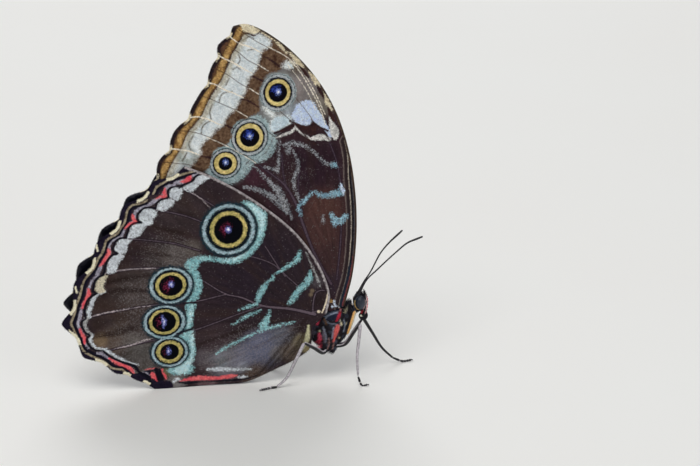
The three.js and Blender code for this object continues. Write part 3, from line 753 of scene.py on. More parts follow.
# The gold line that follows the margin.
FORE_GOLD = [
    (0.6, 74.4), (0, 73.2), (-0.8, 71.8), (-1.5, 70.6), (-2.2, 69.2), (-2.9, 67.6), (-3.4, 66),
    (-4.1, 64.6), (-5, 63.4), (-5.9, 62), (-6.7, 60.4), (-7.4, 58.8), (-8.2, 57.2), (-9.2, 56.2),
    (-10.3, 54.9), (-11.1, 53.5), (-11.7, 52), (-12.3, 50.6), (-13, 49.6), (-13.8, 48.3), (-14.6, 46.8),
    (-16.5, 41.5), (-17.6, 36.5),
]
FORE_MARKS = [
    ("pale", patches,
     [(1.5, 73.3), (0.9, 72.2), (0.2, 71.4), (-0.3, 70.4), (-1.1, 69.4), (-1.5, 68), (-2.2, 66.4),
      (-2.7, 65.4), (-3.4, 64), (-4, 62.7), (-4.9, 61.6), (-5.6, 60.2), (-6.5, 58.8), (-7.1, 57.2),
      (-8, 56.2), (-9, 54.8), (-10.1, 53.4), (-10.8, 51.8), (-11.6, 50.3), (-12.5, 49), (-13.4, 47),
      (-15.5, 41), (-12, 40), (-9.4, 46.9), (-8.7, 48.3), (-7.6, 49), (-7.6, 50.3), (-6.8, 51.6),
      (-5.4, 52.7), (-4.4, 54), (-3, 54.8), (-2.7, 55.8), (-1.8, 56.9), (-0.6, 58.2), (0.3, 59.8),
      (1, 60.8), (1.7, 62.6), (2.1, 64.2), (3, 65.3), (3.8, 66.6), (4.3, 68.2), (4.9, 70), (6.1, 70.3),
      (6.6, 71.5), (4.6, 73.2), (3, 73.5)],
     [(6.4, 54.5), (7, 55.7), (8.8, 56.2), (10.2, 55.9), (10.6, 54.9), (9, 53.8), (7.6, 52.8), (6.7, 53)]),
    ("pale", ovals, (10.2, 66.6, 1.2, 0.8)),
    ("pale", lines, [(5, 58, 0.4), (6.2, 57, 0.8), (7.4, 56, 0.6)]),
    ("red", patches,
     [(-9.5, 45), (-6, 46), (-5.3, 48), (-4.8, 49.6), (-2.6, 50.6), (-1.4, 52), (-1.2, 54), (0.1, 55.5),
      (2, 56.1), (4.2, 57.4), (4.2, 59), (4.2, 61), (4.8, 63.2), (6.2, 65.1), (8.2, 65.5), (9.3, 66.8),
      (10, 68.4), (8.8, 69.8), (7.6, 71.1), (6.2, 71.8), (1, 68), (-4, 59), (-9, 51)]),
    ("dark", lines,
     [(5, 68.7, 0.2), (6.6, 67.7, 0.4), (8.2, 66.4, 0.3)], [(3, 64.6, 0.3), (5, 63.5, 0.4)],
     [(0.5, 60, 0.2), (2, 59.6, 0.3), (4, 58.2, 0.35)], [(-2.7, 54.8, 0.3), (-0.9, 54, 0.35)],
     [(-7.5, 48.6, 0.3), (-5.4, 48.1, 0.5)], [(14.6, 55, 0.3), (15.8, 53.6, 0.4), (17.8, 52.6, 0.4)],
     [(10.3, 55, 0.4), (11.5, 54.2, 0.3), (13, 52.2, 0.3), (14.2, 50.7, 0.3), (15.4, 49.9, 0.4)],
     [(7.2, 52.6, 0.5), (8.6, 53.1, 0.5), (10.9, 54, 0.8)],
     [(16.6, 53.2, 0.2), (17.6, 51.6, 0.25), (18.2, 50.3, 0.2)],
     [(12.2, 66.3, 0.2), (13.2, 65, 0.7), (14, 63.9, 0.4)],
     [(15.7, 62.3, 0.2), (16.2, 61.2, 0.7), (16.9, 59.9, 0.5), (17.1, 59, 0.2)],
     [(17.9, 57.4, 0.3), (18.4, 56, 0.8), (19, 54.6, 0.5)],
     [(1.2, 73.6, 0.15), (2.2, 73.4, 0.3), (3.4, 73, 0.35), (4.2, 73.5, 0.15)]),
    ("dark", patches,
     [(11.4, 54.4), (12.8, 53.9), (14, 53.8), (15.1, 54.4), (15.6, 53), (15.5, 51.8), (14.3, 52),
      (13, 52.9), (12, 53.4)]),
    ("grey", lines,
     [(9, 50.1, 0.49), (10.5, 50.5, 0.66), (12, 50, 0.74), (13.8, 49.3, 0.41), (15, 48.2, 0.33),
      (16.3, 46.9, 0.37), (17.3, 45.7, 0.49), (18.5, 45.5, 0.74), (19.4, 45.4, 0.49)],
     [(10, 50.2, 0.66), (9.9, 49, 1.07), (10, 48.4, 0.66)],
     [(10.9, 48.8, 0.25), (11.6, 47, 0.41), (11.9, 45.5, 0.41), (11.4, 43.8, 0.57), (11, 42.3, 0.57),
      (11.2, 40.5, 0.41), (11.8, 39, 0.33), (12, 38, 0.16)],
     [(8.2, 50.8, 0.16), (8, 49, 0.29), (8, 47.4, 0.33), (8, 46, 0.41), (7.8, 44.4, 0.33)],
     [(5.3, 45.6, 0.33), (6.5, 45.3, 0.41), (7.6, 45, 0.49)],
     [(3.4, 45.7, 0.16), (5, 43.7, 0.41), (6.5, 42, 0.74), (7.8, 40.6, 1.15), (8.6, 39, 1.23),
      (9.5, 37.2, 0.98), (10.1, 35.6, 0.49), (10.6, 34.4, 0.16)],
     [(1, 41.7, 0.49), (3.5, 41, 0.74), (5.5, 40, 0.9), (7.5, 38.4, 1.15), (9, 36.8, 0.98),
      (9.8, 35.5, 0.33)], [(16.8, 34.8, 0.33), (16.9, 33.3, 0.41)]),
    ("cream", lines,
     [(7.6, 71.5, 0.2), (8.4, 70.7, 0.6), (9.1, 69.8, 0.5), (9.8, 69, 0.2)],
     [(10.2, 69.2, 0.3), (11.2, 68.1, 0.7), (12.1, 67, 0.9), (12.9, 66, 0.45)],
     [(14.1, 65, 0.2), (14.8, 64, 0.7), (15.5, 62.9, 1.05), (16.2, 61.7, 0.5)],
     [(16.8, 60.6, 0.3), (17.4, 59.4, 0.75), (17.9, 58.2, 0.9), (18.6, 56.8, 0.3)],
     [(4.7, 73.6, 0.1), (6.2, 72.5, 0.26), (7.4, 71.7, 0.1)]),
    ("cream", patches,
     [(0.4, 75.6), (1.6, 75.6), (3.4, 74.7), (4.4, 73.9), (3.8, 73.4), (3, 73.2), (2.2, 73.7), (1.2, 73.9),
      (0.9, 74.6)]),
    ("rose", lines,
     [(7.6, 51.6, 0.3), (9, 52.2, 0.5), (10.6, 52.7, 0.55), (11.2, 53.6, 0.4), (11.2, 54.4, 0.2)],
     [(11, 54, 0.2), (12, 52.9, 0.4), (13.2, 51.9, 0.4), (14.4, 51, 0.5)],
     [(14.2, 51, 0.3), (15.6, 51.2, 1.2), (17, 51.2, 1.2), (18.2, 50.6, 0.6)],
     [(18.2, 55.6, 0.2), (18.6, 54, 1), (19.2, 52.2, 1.7), (19.4, 50.9, 0.8)]),
    ("teal", lines,
     [(11.8, 36.9, 0.7), (12.9, 37.9, 0.8), (14, 39.1, 0.8), (15, 39.9, 0.5), (16.3, 39.2, 0.9),
      (18, 39, 1.1), (19.3, 39.3, 1.3), (20.4, 39.5, 1.6)], [(20.5, 41, 0.5), (20.7, 39.6, 0.6)],
     [(11.9, 36.6, 0.7), (12.4, 35.2, 0.5)],
     [(18.5, 34.8, 0.8), (19.2, 33.8, 1.1), (20.2, 33.4, 1.5), (21.5, 34.4, 1)],
     [(18.9, 33.4, 0.8), (19.2, 32.4, 0.4)], [(18.4, 45.4, 0.4), (19.1, 45.3, 1), (19.5, 45, 0.5)]),
    ("mist", lines,
     [(6.9, 52.9, 0.4), (7.2, 51.6, 0.7), (6.9, 49.8, 0.9), (5.9, 48.2, 1.1), (4.3, 47.3, 1.2),
      (2.9, 46.9, 0.9), (2.1, 46, 1.2), (1, 44.7, 1.4), (0, 43.8, 1.3), (-1.5, 43.1, 1.2), (-3, 42.9, 0.8)]),
    ("lilac", lines,
     [(12.2, 57.8, 1.6), (13.6, 57, 2.9), (15, 56, 2.6), (16.5, 54.4, 1.6), (17.8, 52.6, 1),
      (18.4, 51.4, 0.6)]),
    ("lilac", patches,
     [(10.6, 56), (11.4, 57.6), (12.8, 59), (14.6, 59), (15.8, 57), (15, 55.2), (14, 53.9), (12.6, 54),
      (11.2, 54.9)]),
    ("lilac", lines, [(20.3, 41.5, 0.1), (20.6, 40.5, 0.55), (20.9, 39.6, 0.6), (21, 38.9, 0.2)]),
    ("midline", lines,
     wide(0.2, (1.6, 72.4), (2.4, 72.9), (3.2, 72.4)), wide(0.22, (2, 70), (3.4, 70.2)),
     wide(0.22, (0.2, 69.2), (0.5, 68), (0.1, 67.4)), wide(0.22, (-1, 66.2), (-0.2, 66.6), (0.5, 66.1)),
     wide(0.24, (-1.7, 64.4), (-2.4, 63.1)), wide(0.24, (-1.2, 61.7), (-3.1, 61.3), (-3.8, 59.7)),
     wide(0.24, (-5.1, 59.2), (-5.6, 57.8), (-5.4, 56.2)),
     wide(0.26, (-5.6, 55.8), (-7, 54.9), (-7.4, 53.3)), wide(0.26, (-9, 52.8), (-9.8, 51.4), (-9.5, 49.9)),
     wide(0.26, (-10.3, 49.4), (-11.2, 47.8))),
    ("vein", lines,
     wide(0.15, (-0.6, 75.2), (0, 74.6), (2, 73), (4, 71.6), (6.2, 70.3), (9, 68.9), (11, 67)),
     wide(0.15, (-3.8, 71.9), (-2, 71.2), (0, 69.8), (2, 68), (4, 66.8), (6, 65.4)),
     wide(0.15, (-5.2, 66.8), (-3.7, 66.2), (-1.5, 64.8), (0.5, 63.2), (2.5, 62), (5, 60), (8, 57.4),
          (10.5, 55)),
     wide(0.15, (-8.4, 61.2), (-6.4, 60.8), (-4, 59.6), (-2, 58.6), (0, 57.6), (2.5, 55.8), (5, 53.6),
          (7.4, 51.8)),
     wide(0.16, (-12.6, 54.2), (-10.6, 54), (-8, 53.4), (-5.5, 52.3), (-3, 51), (-0.5, 49.3), (2, 47.8),
          (4, 46.2)), wide(0.16, (-15.9, 47.9), (-12, 47.3), (-9.5, 46.8), (-4, 43)),
     wide(0.13, (11.2, 60), (13, 57.7), (14.7, 55.2))),
    ("fleck", ovals, (19.1, 16.2, 0.24, 0.5), (19.4, 15.3, 0.3, 0.24), (18.7, 15.2, 0.26, 0.3)),
    ("fleck", lines, wide(0.14, (20, 15), (20.6, 14.8), (21, 14.4))),
    ("ochre", ovals, (18.4, 16.4, 0.42, 0.4)),
    ("stem", lines,
     [(4, 46.2, 0.16), (7, 43.7, 0.24), (9, 41.8, 0.3), (11, 38.5, 0.36), (12.7, 33.5, 0.42),
      (15, 27, 0.44), (18.5, 20, 0.4)], wide(0.14, (8.6, 48), (8.9, 44), (9.6, 40.5)),
     wide(0.14, (12, 44), (11.9, 40), (12.6, 35.5)), wide(0.16, (18.2, 50), (19.6, 46), (20.6, 40)),
     wide(0.18, (20.6, 34), (20.3, 28), (19.6, 21))),
    ("sky", patches,
     [(6.7, 53.2), (6.5, 54.6), (7.2, 55.8), (8.9, 56.1), (10.2, 55.7), (10.5, 54.9), (9, 53.8),
      (7.6, 52.9)]),
    ("smoke", lines,
     [(-11.6, 50.2, 0.2), (-11.6, 48.6, 1.2), (-10.4, 47.6, 1.5), (-9, 47.8, 1)],
     [(-10, 51.4, 0.2), (-9.4, 49.8, 0.9), (-8.6, 48.6, 0.9)]),
    ("fold", lines,
     [(-2.4, 73.9, 0.34), (-1.5, 73, 0.26), (0, 71.7, 0.16), (0.8, 71.3, 0.3), (2.4, 70.7, 0.3),
      (4.8, 69.3, 0.16)],
     [(-3.9, 69.3, 0.34), (-2.6, 68.5, 0.2), (-1.4, 67.9, 0.3), (0, 67, 0.32), (1.5, 66, 0.22),
      (2.9, 65.2, 0.14)],
     [(-5.6, 63.7, 0.34), (-4.3, 63.2, 0.2), (-3.4, 62.6, 0.3), (-2, 61.8, 0.32), (-0.8, 61.3, 0.22),
      (1.1, 60.3, 0.14)],
     [(-9.7, 56.8, 0.34), (-8, 56.8, 0.2), (-6.8, 56.5, 0.32), (-5.2, 55.8, 0.3), (-4, 55.1, 0.22),
      (-2.8, 54.7, 0.14)],
     [(-13.6, 50.5, 0.34), (-11.7, 50.2, 0.2), (-10, 49.8, 0.32), (-9, 49.4, 0.3), (-7.5, 48.7, 0.14)],
     wide(0.17, (6, 70.6), (10, 68), (12.6, 64.6), (14.6, 61), (16.2, 57.6), (17.4, 53.8)),
     wide(0.14, (10.8, 67.8), (13.4, 64.2), (15.6, 60), (17.3, 56)),
     wide(0.12, (9.8, 66.8), (12.2, 63.5), (14.2, 60), (15.4, 57)), wide(0.14, (4, 67), (6, 65.6)),
     wide(0.14, (2.2, 62.2), (4.2, 60.8)), wide(0.14, (-0.6, 57.9), (1.8, 56.3)),
     wide(0.14, (-6.4, 52.6), (-1.4, 49.9), (3.4, 46.6))),
    ("spark", ovals, (8, 61.1, 0.36, 0.5), (2.3, 52.2, 0.36, 0.42), (-2.6, 47, 0.3, 0.36)),
    ("ember", ovals, (7.6, 61.6, 1.3, 1.3), (2.1, 52.6, 1.4, 1.3), (-2.7, 47.1, 0.9, 0.9)),
]


def forewing_marks(x, z, edge, bay, costal):
    """The tables' numbers, the gold line, the pale notches and the stripes along the front edge."""
    stored = draw_marks(x, z, FORE_MARKS, FORE_EYES)
    gold = cover_of_line(x, z, wide(1.14, *curve(FORE_GOLD)))
    notch = np.where(bay >= 0, np.sin(math.pi * np.clip(bay, 0, 1)) ** 2, 0)
    stored["cream"] = np.maximum(stored["cream"], np.minimum(0.3 - edge, (notch - 0.86) * 1.5))
    stored["snow"] = np.minimum(stored["pale"], np.minimum(-gold - 1.5, (x + z * 0.62 < 52) * 8.0 - 4))
    stored["navy"] = np.minimum(0.3 - np.abs(costal - 0.86), (24.5 - z) * 0.1)
    stored["blood"] = np.minimum(0.21 - np.abs(costal - 0.26), (25.5 - z) * 0.1)
    stored["tan"] = gold
    stored["costa"] = costal + smooth(z, 41, 49) * 0.75 + smooth(z, 50, 55) * 5
    stored["rim"] = costal
    return stored


# ---------------------------------------------------------------- wing paints

# The ground colour, then soft areas: middle (x, z), reach, colour and strength.
HIND_GROUND = (42, 32, 36), [
    (3, 24, 9, (34, 26, 34), 0.9), (9, 19, 5, (38, 29, 34), 0.8), (-12, 37, 5, (50, 41, 42), 0.7),
    (2, 40, 3, (54, 43, 43), 0.7), (-15, 28, 4, (60, 53, 52), 0.7), (-13, 28, 2.6, (78, 71, 68), 0.7),
    (-9.6, 29.6, 1.8, (82, 75, 70), 0.7), (-24, 24, 3, (34, 23, 26), 0.7),
    (-25.6, 23.6, 1.8, (44, 30, 28), 0.8), (-24, 19.6, 2.4, (76, 66, 64), 0.7),
    (-21, 21, 5, (66, 58, 56), 0.8), (-27, 18, 4, (50, 40, 39), 0.8), (-22, 13, 4, (60, 51, 49), 0.8),
    (-26, 10.5, 3, (86, 74, 66), 0.7), (-28.3, 11.2, 1.5, (108, 90, 70), 0.8),
    (-28.6, 14.4, 1.5, (46, 35, 33), 0.8), (-24, 14.8, 1.6, (60, 50, 46), 0.7),
    (-22, 10.6, 1.8, (90, 84, 80), 0.7), (-20, 7, 4, (66, 63, 60), 0.85), (-5, 8.5, 4, (58, 47, 50), 0.8),
    # The blue-grey areas from (-3, 4.8) to (8.6, 10) lie where the wing bows round the body: its own grey,
    # painted lighter there as a painted highlight.
    (-7.4, 5.8, 2, (80, 74, 78), 0.8), (-3, 4.8, 3, (102, 102, 110), 0.9),
    (-4, 4.9, 1.2, (106, 114, 120), 0.7), (1, 6, 2.6, (102, 102, 116), 0.9),
    (0.4, 3.6, 1.2, (116, 118, 126), 0.7), (4.5, 7.6, 4, (82, 84, 102), 0.95),
    (8.6, 10, 2.6, (74, 76, 86), 0.9), (7.4, 6.2, 1.6, (92, 88, 88), 0.8), (10, 6.4, 2, (92, 80, 70), 0.9),
    (12, 8.6, 1.6, (104, 94, 70), 0.8), (13.2, 6.9, 0.9, (128, 116, 84), 0.8),
    (10.6, 12, 1.4, (50, 40, 44), 0.7), (3, 1.5, 2.5, (74, 60, 52), 0.9),
    (-13, 1.4, 1.6, (110, 108, 106), 0.8), (-15, 3.5, 1, (84, 84, 62), 0.95),
    (15.5, 21, 1.2, (62, 56, 60), 0.8), (14.5, 19.2, 0.4, (104, 90, 74), 0.9),
    (14.2, 18.4, 0.4, (100, 86, 70), 0.9), (-7, 0.2, 1.8, (96, 74, 78), 0.8),
    (13.6, 16, 1.6, (40, 30, 32), 0.8), (15.9, 16.9, 1.2, (34, 25, 27), 0.9),
    (18.6, 14.6, 0.8, (32, 30, 40), 0.8),
]
FORE_GROUND = (44, 29, 34), [
    (15, 46, 5, (37, 23, 31), 0.9), (17, 36, 4, (70, 46, 42), 0.95), (16.5, 31, 4, (64, 43, 41), 0.9),
    (18.5, 25, 3.5, (54, 37, 38), 0.9), (19.6, 20, 2.5, (44, 34, 42), 0.8), (3, 44, 2.6, (54, 31, 40), 0.9),
    (7.9, 61, 4.6, (132, 134, 132), 1), (12.8, 61.5, 3.4, (112, 104, 102), 1),
    (7.6, 57, 2.6, (124, 124, 122), 1), (2.3, 52.1, 4.4, (126, 134, 134), 1),
    (-2.6, 46.9, 3.8, (126, 138, 140), 1), (11, 56.5, 2, (140, 148, 156), 0.9),
    (16.5, 58, 2.4, (104, 96, 88), 0.9), (12, 67.5, 2.6, (84, 70, 58), 1), (7.5, 72, 2.4, (84, 70, 56), 1),
    (2.4, 74.4, 2.2, (120, 100, 74), 1),
]


def ground_colour(x, z, ground):
    """The colour below all marks at each point, from one of the two grounds above."""
    colour = plain_coat(ground[0], len(x))
    for cx, cz, reach, shade, strength in ground[1]:
        share = smooth(np.hypot(x - cx, z - cz), reach * 1.5, reach * 0.5)
        colour = blend(colour, shade, strength * share)
    return colour


MEASURED = ("ring", "costa", "edge", "rim")


def wing_paint(name, layers, frost):
    """The scaled underside.

    Layers are (stored number, threshold, colours, softness, jag, wander, holes): holes is the share
    of the scales at a place that keep the colour below. For the numbers in MEASURED a layer covers
    what is less than its threshold, as they grow outwards. For all others it covers what is more.
    """
    p = Paint(name, 0.72, 0.06)
    flow = p.stored("flow", "Vector")
    grain = p.cells(0.17)
    grit = p.cells(0.14)
    rows = p.cells(0.13, "Distance")
    cloud = p.noise(0.55, 3.0, 0.6)
    streak = p.noise(1.0, 3.0, 0.6, flow, 1.0)
    mottle = p.maths("ADD", p.maths("MULTIPLY", cloud, 0.6), p.maths("MULTIPLY", streak, 0.4))
    colour = p.vary(p.stored("ground", "Color"), streak, 0.3, 0.7, 0.74, 1.26)
    broad = p.noise(2.6, 2.0, 0.5, flow, 1.0)
    colour = p.mix(p.span(broad, 0.5, 0.75, 0.0, 0.5), colour, tone((52, 38, 32)))
    dust = p.maths("SUBTRACT", p.maths("ADD", p.stored("frost"), p.maths("MULTIPLY", cloud, 0.5)), 0.25)
    share = p.span(p.maths("SUBTRACT", dust, grit), -0.04, 0.04)
    colour = p.mix(p.maths("MULTIPLY", share, 0.36), colour, tone(frost))
    jitter = p.maths("SUBTRACT", grain, 0.5)
    drift = p.maths("SUBTRACT", cloud, 0.5)
    for number, threshold, shades, soft, jag, wander, holes in layers:
        reach = p.stored(number)
        if number in MEASURED:
            reach = p.maths("SUBTRACT", threshold, reach)
        elif threshold:
            reach = p.maths("SUBTRACT", reach, threshold)
        reach = p.maths("ADD", reach, p.maths("MULTIPLY", jitter, 2 * jag))
        if wander:
            reach = p.maths("ADD", reach, p.maths("MULTIPLY", drift, 4 * wander))
        share = p.span(reach, -soft / 2, soft / 2)
        if holes:
            share = p.maths("MULTIPLY", share, p.span(grit, holes - 0.06, holes + 0.06, 0.15, 1.0))
        layer = tone(shades[0])
        if len(shades) > 1:
            layer = p.mix(p.span(mottle, 0.38, 0.62), layer, tone(shades[1]))
        colour = p.mix(share, colour, layer)
    colour = p.vary(colour, grain, 0, 1, 0.84, 1.16)
    p.bump(p.maths("ADD", p.maths("MULTIPLY", rows, 0.7), grain), 0.035)
    return p.base(colour)


HIND_LAYERS = [
    ("fold", 0, [(32, 22, 20)], 0.9, 0.25, 0.12, 0.1),
    # Painted shadow: a dark line along each vein, a little wider than the vein, under its lighter core.
    ("vein", -0.2, [(32, 24, 30)], 0.16, 0.04, 0, 0),
    ("vein", 0, [(86, 74, 82)], 0.12, 0.03, 0, 0),
    ("silver", 0, [(170, 158, 160)], 0.2, 0.1, 0, 0.35),
    ("teal", 0, [(96, 146, 152), (146, 184, 186)], 0.3, 0.3, 0.12, 0.14),
    ("glow", 0, [(150, 186, 194), (184, 208, 214)], 0.6, 0.24, 0.12, 0.04),
    ("ring", 5, [(22, 38, 46)], 0.2, 0.3, 0, 0.15),
    ("ring", 4, [(108, 138, 146), (160, 176, 184)], 0.25, 0.25, 0, 0.12),
    ("ring", 3, [(8, 16, 24)], 0.2, 0.25, 0, 0),
    ("ring", 2, [(132, 126, 70), (194, 176, 112)], 0.2, 0.22, 0, 0.05),
    ("ring", 1, [(2, 3, 8)], 0.06, 0.06, 0, 0),
    ("pale", -0.04, [(152, 156, 162), (196, 201, 210)], 0.24, 0.2, 0.06, 0.04),
    ("ash", 0, [(118, 116, 116), (168, 168, 168)], 0.3, 0.2, 0.08, 0.06),
    ("ivory", 0, [(168, 158, 136), (186, 180, 160)], 0.3, 0.2, 0.06, 0.04),
    ("dark", 0, [(16, 12, 26), (28, 22, 38)], 0.14, 0.12, 0, 0),
    ("lilac", 0.1, [(112, 108, 122), (164, 160, 172)], 0.18, 0.14, 0.05, 0.08),
    ("red", 0.04, [(190, 62, 76), (228, 104, 104)], 0.2, 0.14, 0.04, 0),
    ("tan", 0, [(96, 84, 68), (160, 148, 126)], 0.2, 0.1, 0.05, 0),
    ("black", 0, [(12, 11, 22)], 0.16, 0.1, 0.03, 0),
    ("cream", 0, [(206, 198, 174)], 0.14, 0.08, 0, 0),
    ("strap", 0, [(196, 182, 160)], 0.14, 0.05, 0, 0.05),
    ("buff", 0, [(168, 164, 132)], 0.3, 0.1, 0.05, 0.08),
    ("costa", 0.42, [(104, 96, 98), (168, 161, 162)], 0.24, 0.1, 0.08, 0),
    ("ember", 0.75, [(108, 32, 58)], 0.6, 0.7, 0.1, 0.1),
    ("spark", 0, [(120, 128, 226)], 0.6, 0.2, 0, 0),
    ("spark", 0.2, [(232, 236, 250)], 0.3, 0.1, 0, 0),
]
FORE_LAYERS = [
    ("costa", 2.15, [(104, 92, 88)], 0.12, 0.06, 0, 0.2),
    ("costa", 1.95, [(40, 30, 32)], 0.3, 0.08, 0, 0),
    ("costa", 1.2, [(156, 146, 134)], 0.12, 0.06, 0, 0.15),
    ("costa", 1.02, [(24, 20, 24)], 0.14, 0.06, 0, 0),
    ("costa", 0.55, [(70, 70, 76)], 0.14, 0.06, 0, 0.1),
    ("costa", 0.32, [(20, 17, 21)], 0.14, 0.06, 0, 0),
    # Painted shadow: a dark line along each stem vein, a little wider than it, under its lighter core.
    ("stem", -0.14, [(36, 26, 36)], 0.2, 0.05, 0, 0),
    ("stem", 0, [(70, 57, 66)], 0.14, 0.04, 0, 0),
    ("navy", 0, [(28, 33, 44)], 0.2, 0.08, 0, 0),
    ("blood", 0, [(146, 44, 54)], 0.18, 0.08, 0, 0),
    ("fleck", 0, [(176, 186, 200)], 0.16, 0.1, 0, 0.2),
    ("ochre", 0, [(150, 118, 74)], 0.16, 0.1, 0, 0.1),
    ("grey", 0, [(88, 94, 100), (150, 152, 156)], 0.3, 0.3, 0.1, 0.35),
    ("teal", 0, [(92, 128, 146), (142, 174, 186)], 0.24, 0.3, 0.12, 0.25),
    ("mist", 0, [(112, 134, 138), (152, 168, 170)], 0.3, 0.3, 0.12, 0.22),
    ("ring", 6, [(118, 138, 142), (154, 170, 172)], 0.4, 0.4, 0, 0.15),
    ("ring", 5, [(34, 48, 54)], 0.25, 0.3, 0, 0.1),
    ("red", 0, [(58, 38, 28), (102, 80, 62)], 0.3, 0.2, 0.14, 0),
    ("lilac", 0, [(158, 172, 202), (184, 194, 216)], 0.24, 0.16, 0.05, 0.03),
    ("pale", 0, [(146, 141, 126), (178, 174, 162)], 0.24, 0.2, 0.08, 0.02),
    ("snow", 0, [(172, 180, 184), (202, 206, 208)], 0.9, 0.2, 0.2, 0),
    ("smoke", 0, [(112, 118, 112), (150, 156, 152)], 0.8, 0.3, 0.12, 0.1),
    ("sky", 0, [(160, 176, 184), (190, 200, 206)], 0.4, 0.16, 0.06, 0.03),
    ("midline", 0, [(78, 72, 60)], 0.26, 0.1, 0.06, 0.08),
    ("edge", 1.85, [(98, 68, 48), (72, 50, 40)], 0.5, 0.12, 0.1, 0),
    ("tan", -0.3, [(66, 44, 30)], 0.24, 0.1, 0.04, 0),
    ("tan", 0, [(116, 82, 46), (184, 150, 94)], 0.5, 0.16, 0.05, 0),
    ("edge", 0.72, [(30, 22, 26)], 0.34, 0.12, 0.06, 0),
    ("vein", 0, [(58, 42, 34)], 0.1, 0.03, 0, 0),
    ("fold", 0, [(208, 198, 184)], 0.14, 0.06, 0, 0),
    ("rim", 0.42, [(40, 30, 28), (70, 56, 46)], 0.2, 0.1, 0.05, 0),
    ("cream", 0, [(170, 156, 128), (204, 194, 168)], 0.2, 0.14, 0.06, 0.04),
    ("rose", 0, [(150, 148, 146), (202, 200, 196)], 0.2, 0.12, 0.05, 0.08),
    ("dark", 0, [(34, 22, 26), (54, 32, 30)], 0.16, 0.12, 0.05, 0),
    ("ring", 4, [(128, 138, 142), (170, 172, 174)], 0.3, 0.4, 0, 0.1),
    ("ring", 3, [(20, 20, 28)], 0.3, 0.35, 0, 0),
    ("ring", 2, [(160, 142, 84), (204, 186, 126)], 0.2, 0.12, 0, 0),
    ("ring", 1, [(5, 4, 10)], 0.08, 0.05, 0, 0),
    ("ember", 0.7, [(40, 58, 140)], 0.5, 0.6, 0.1, 0.1),
    ("spark", 0, [(120, 140, 216)], 0.6, 0.2, 0, 0),
    ("spark", 0.16, [(232, 236, 250)], 0.3, 0.1, 0, 0),
]
hind_under = wing_paint("hindwing_underside", HIND_LAYERS, (124, 118, 118))
fore_under = wing_paint("forewing_underside", FORE_LAYERS, (124, 122, 122))

upper = Paint("wing_upperside", 0.32, 0.5)
upper.shader.inputs["Metallic"].default_value = 0.55
upper_tone = upper.mix(upper.cells(0.2), ink(8, 88, 190), ink(40, 150, 232))
upper_edge = upper.maths("ADD", upper.stored("border"), upper.maths("MULTIPLY", upper.noise(1.2), 1.6))
upper_tone = upper.mix(upper.span(upper_edge, 0.7, 1.1), upper_tone, ink(10, 9, 26))
upper_tone = upper.mix(upper.span(upper.stored("dots"), -0.1, 0.1), upper_tone, ink(222, 222, 214))
upper.bump(upper.cells(0.15, "Distance"), 0.03)
upper_side = upper.base(upper_tone)


# ---------------------------------------------------------------- wings

WING_SPACING = 0.175
INNER_SPACING = 0.8
# Heights over the bowed middle sheet of a wing: its underside, its upper side and its fringe.
UNDER_OUT, UPPER_OUT, FRINGE_OUT = 0.36, 0.2, 0.27
# How the marks slide along x and z, for each millimetre that the wing bows out.
SLIDE = (0.158, -0.36)
MAP_PART, MAP_GAP = 0.96, 0.01


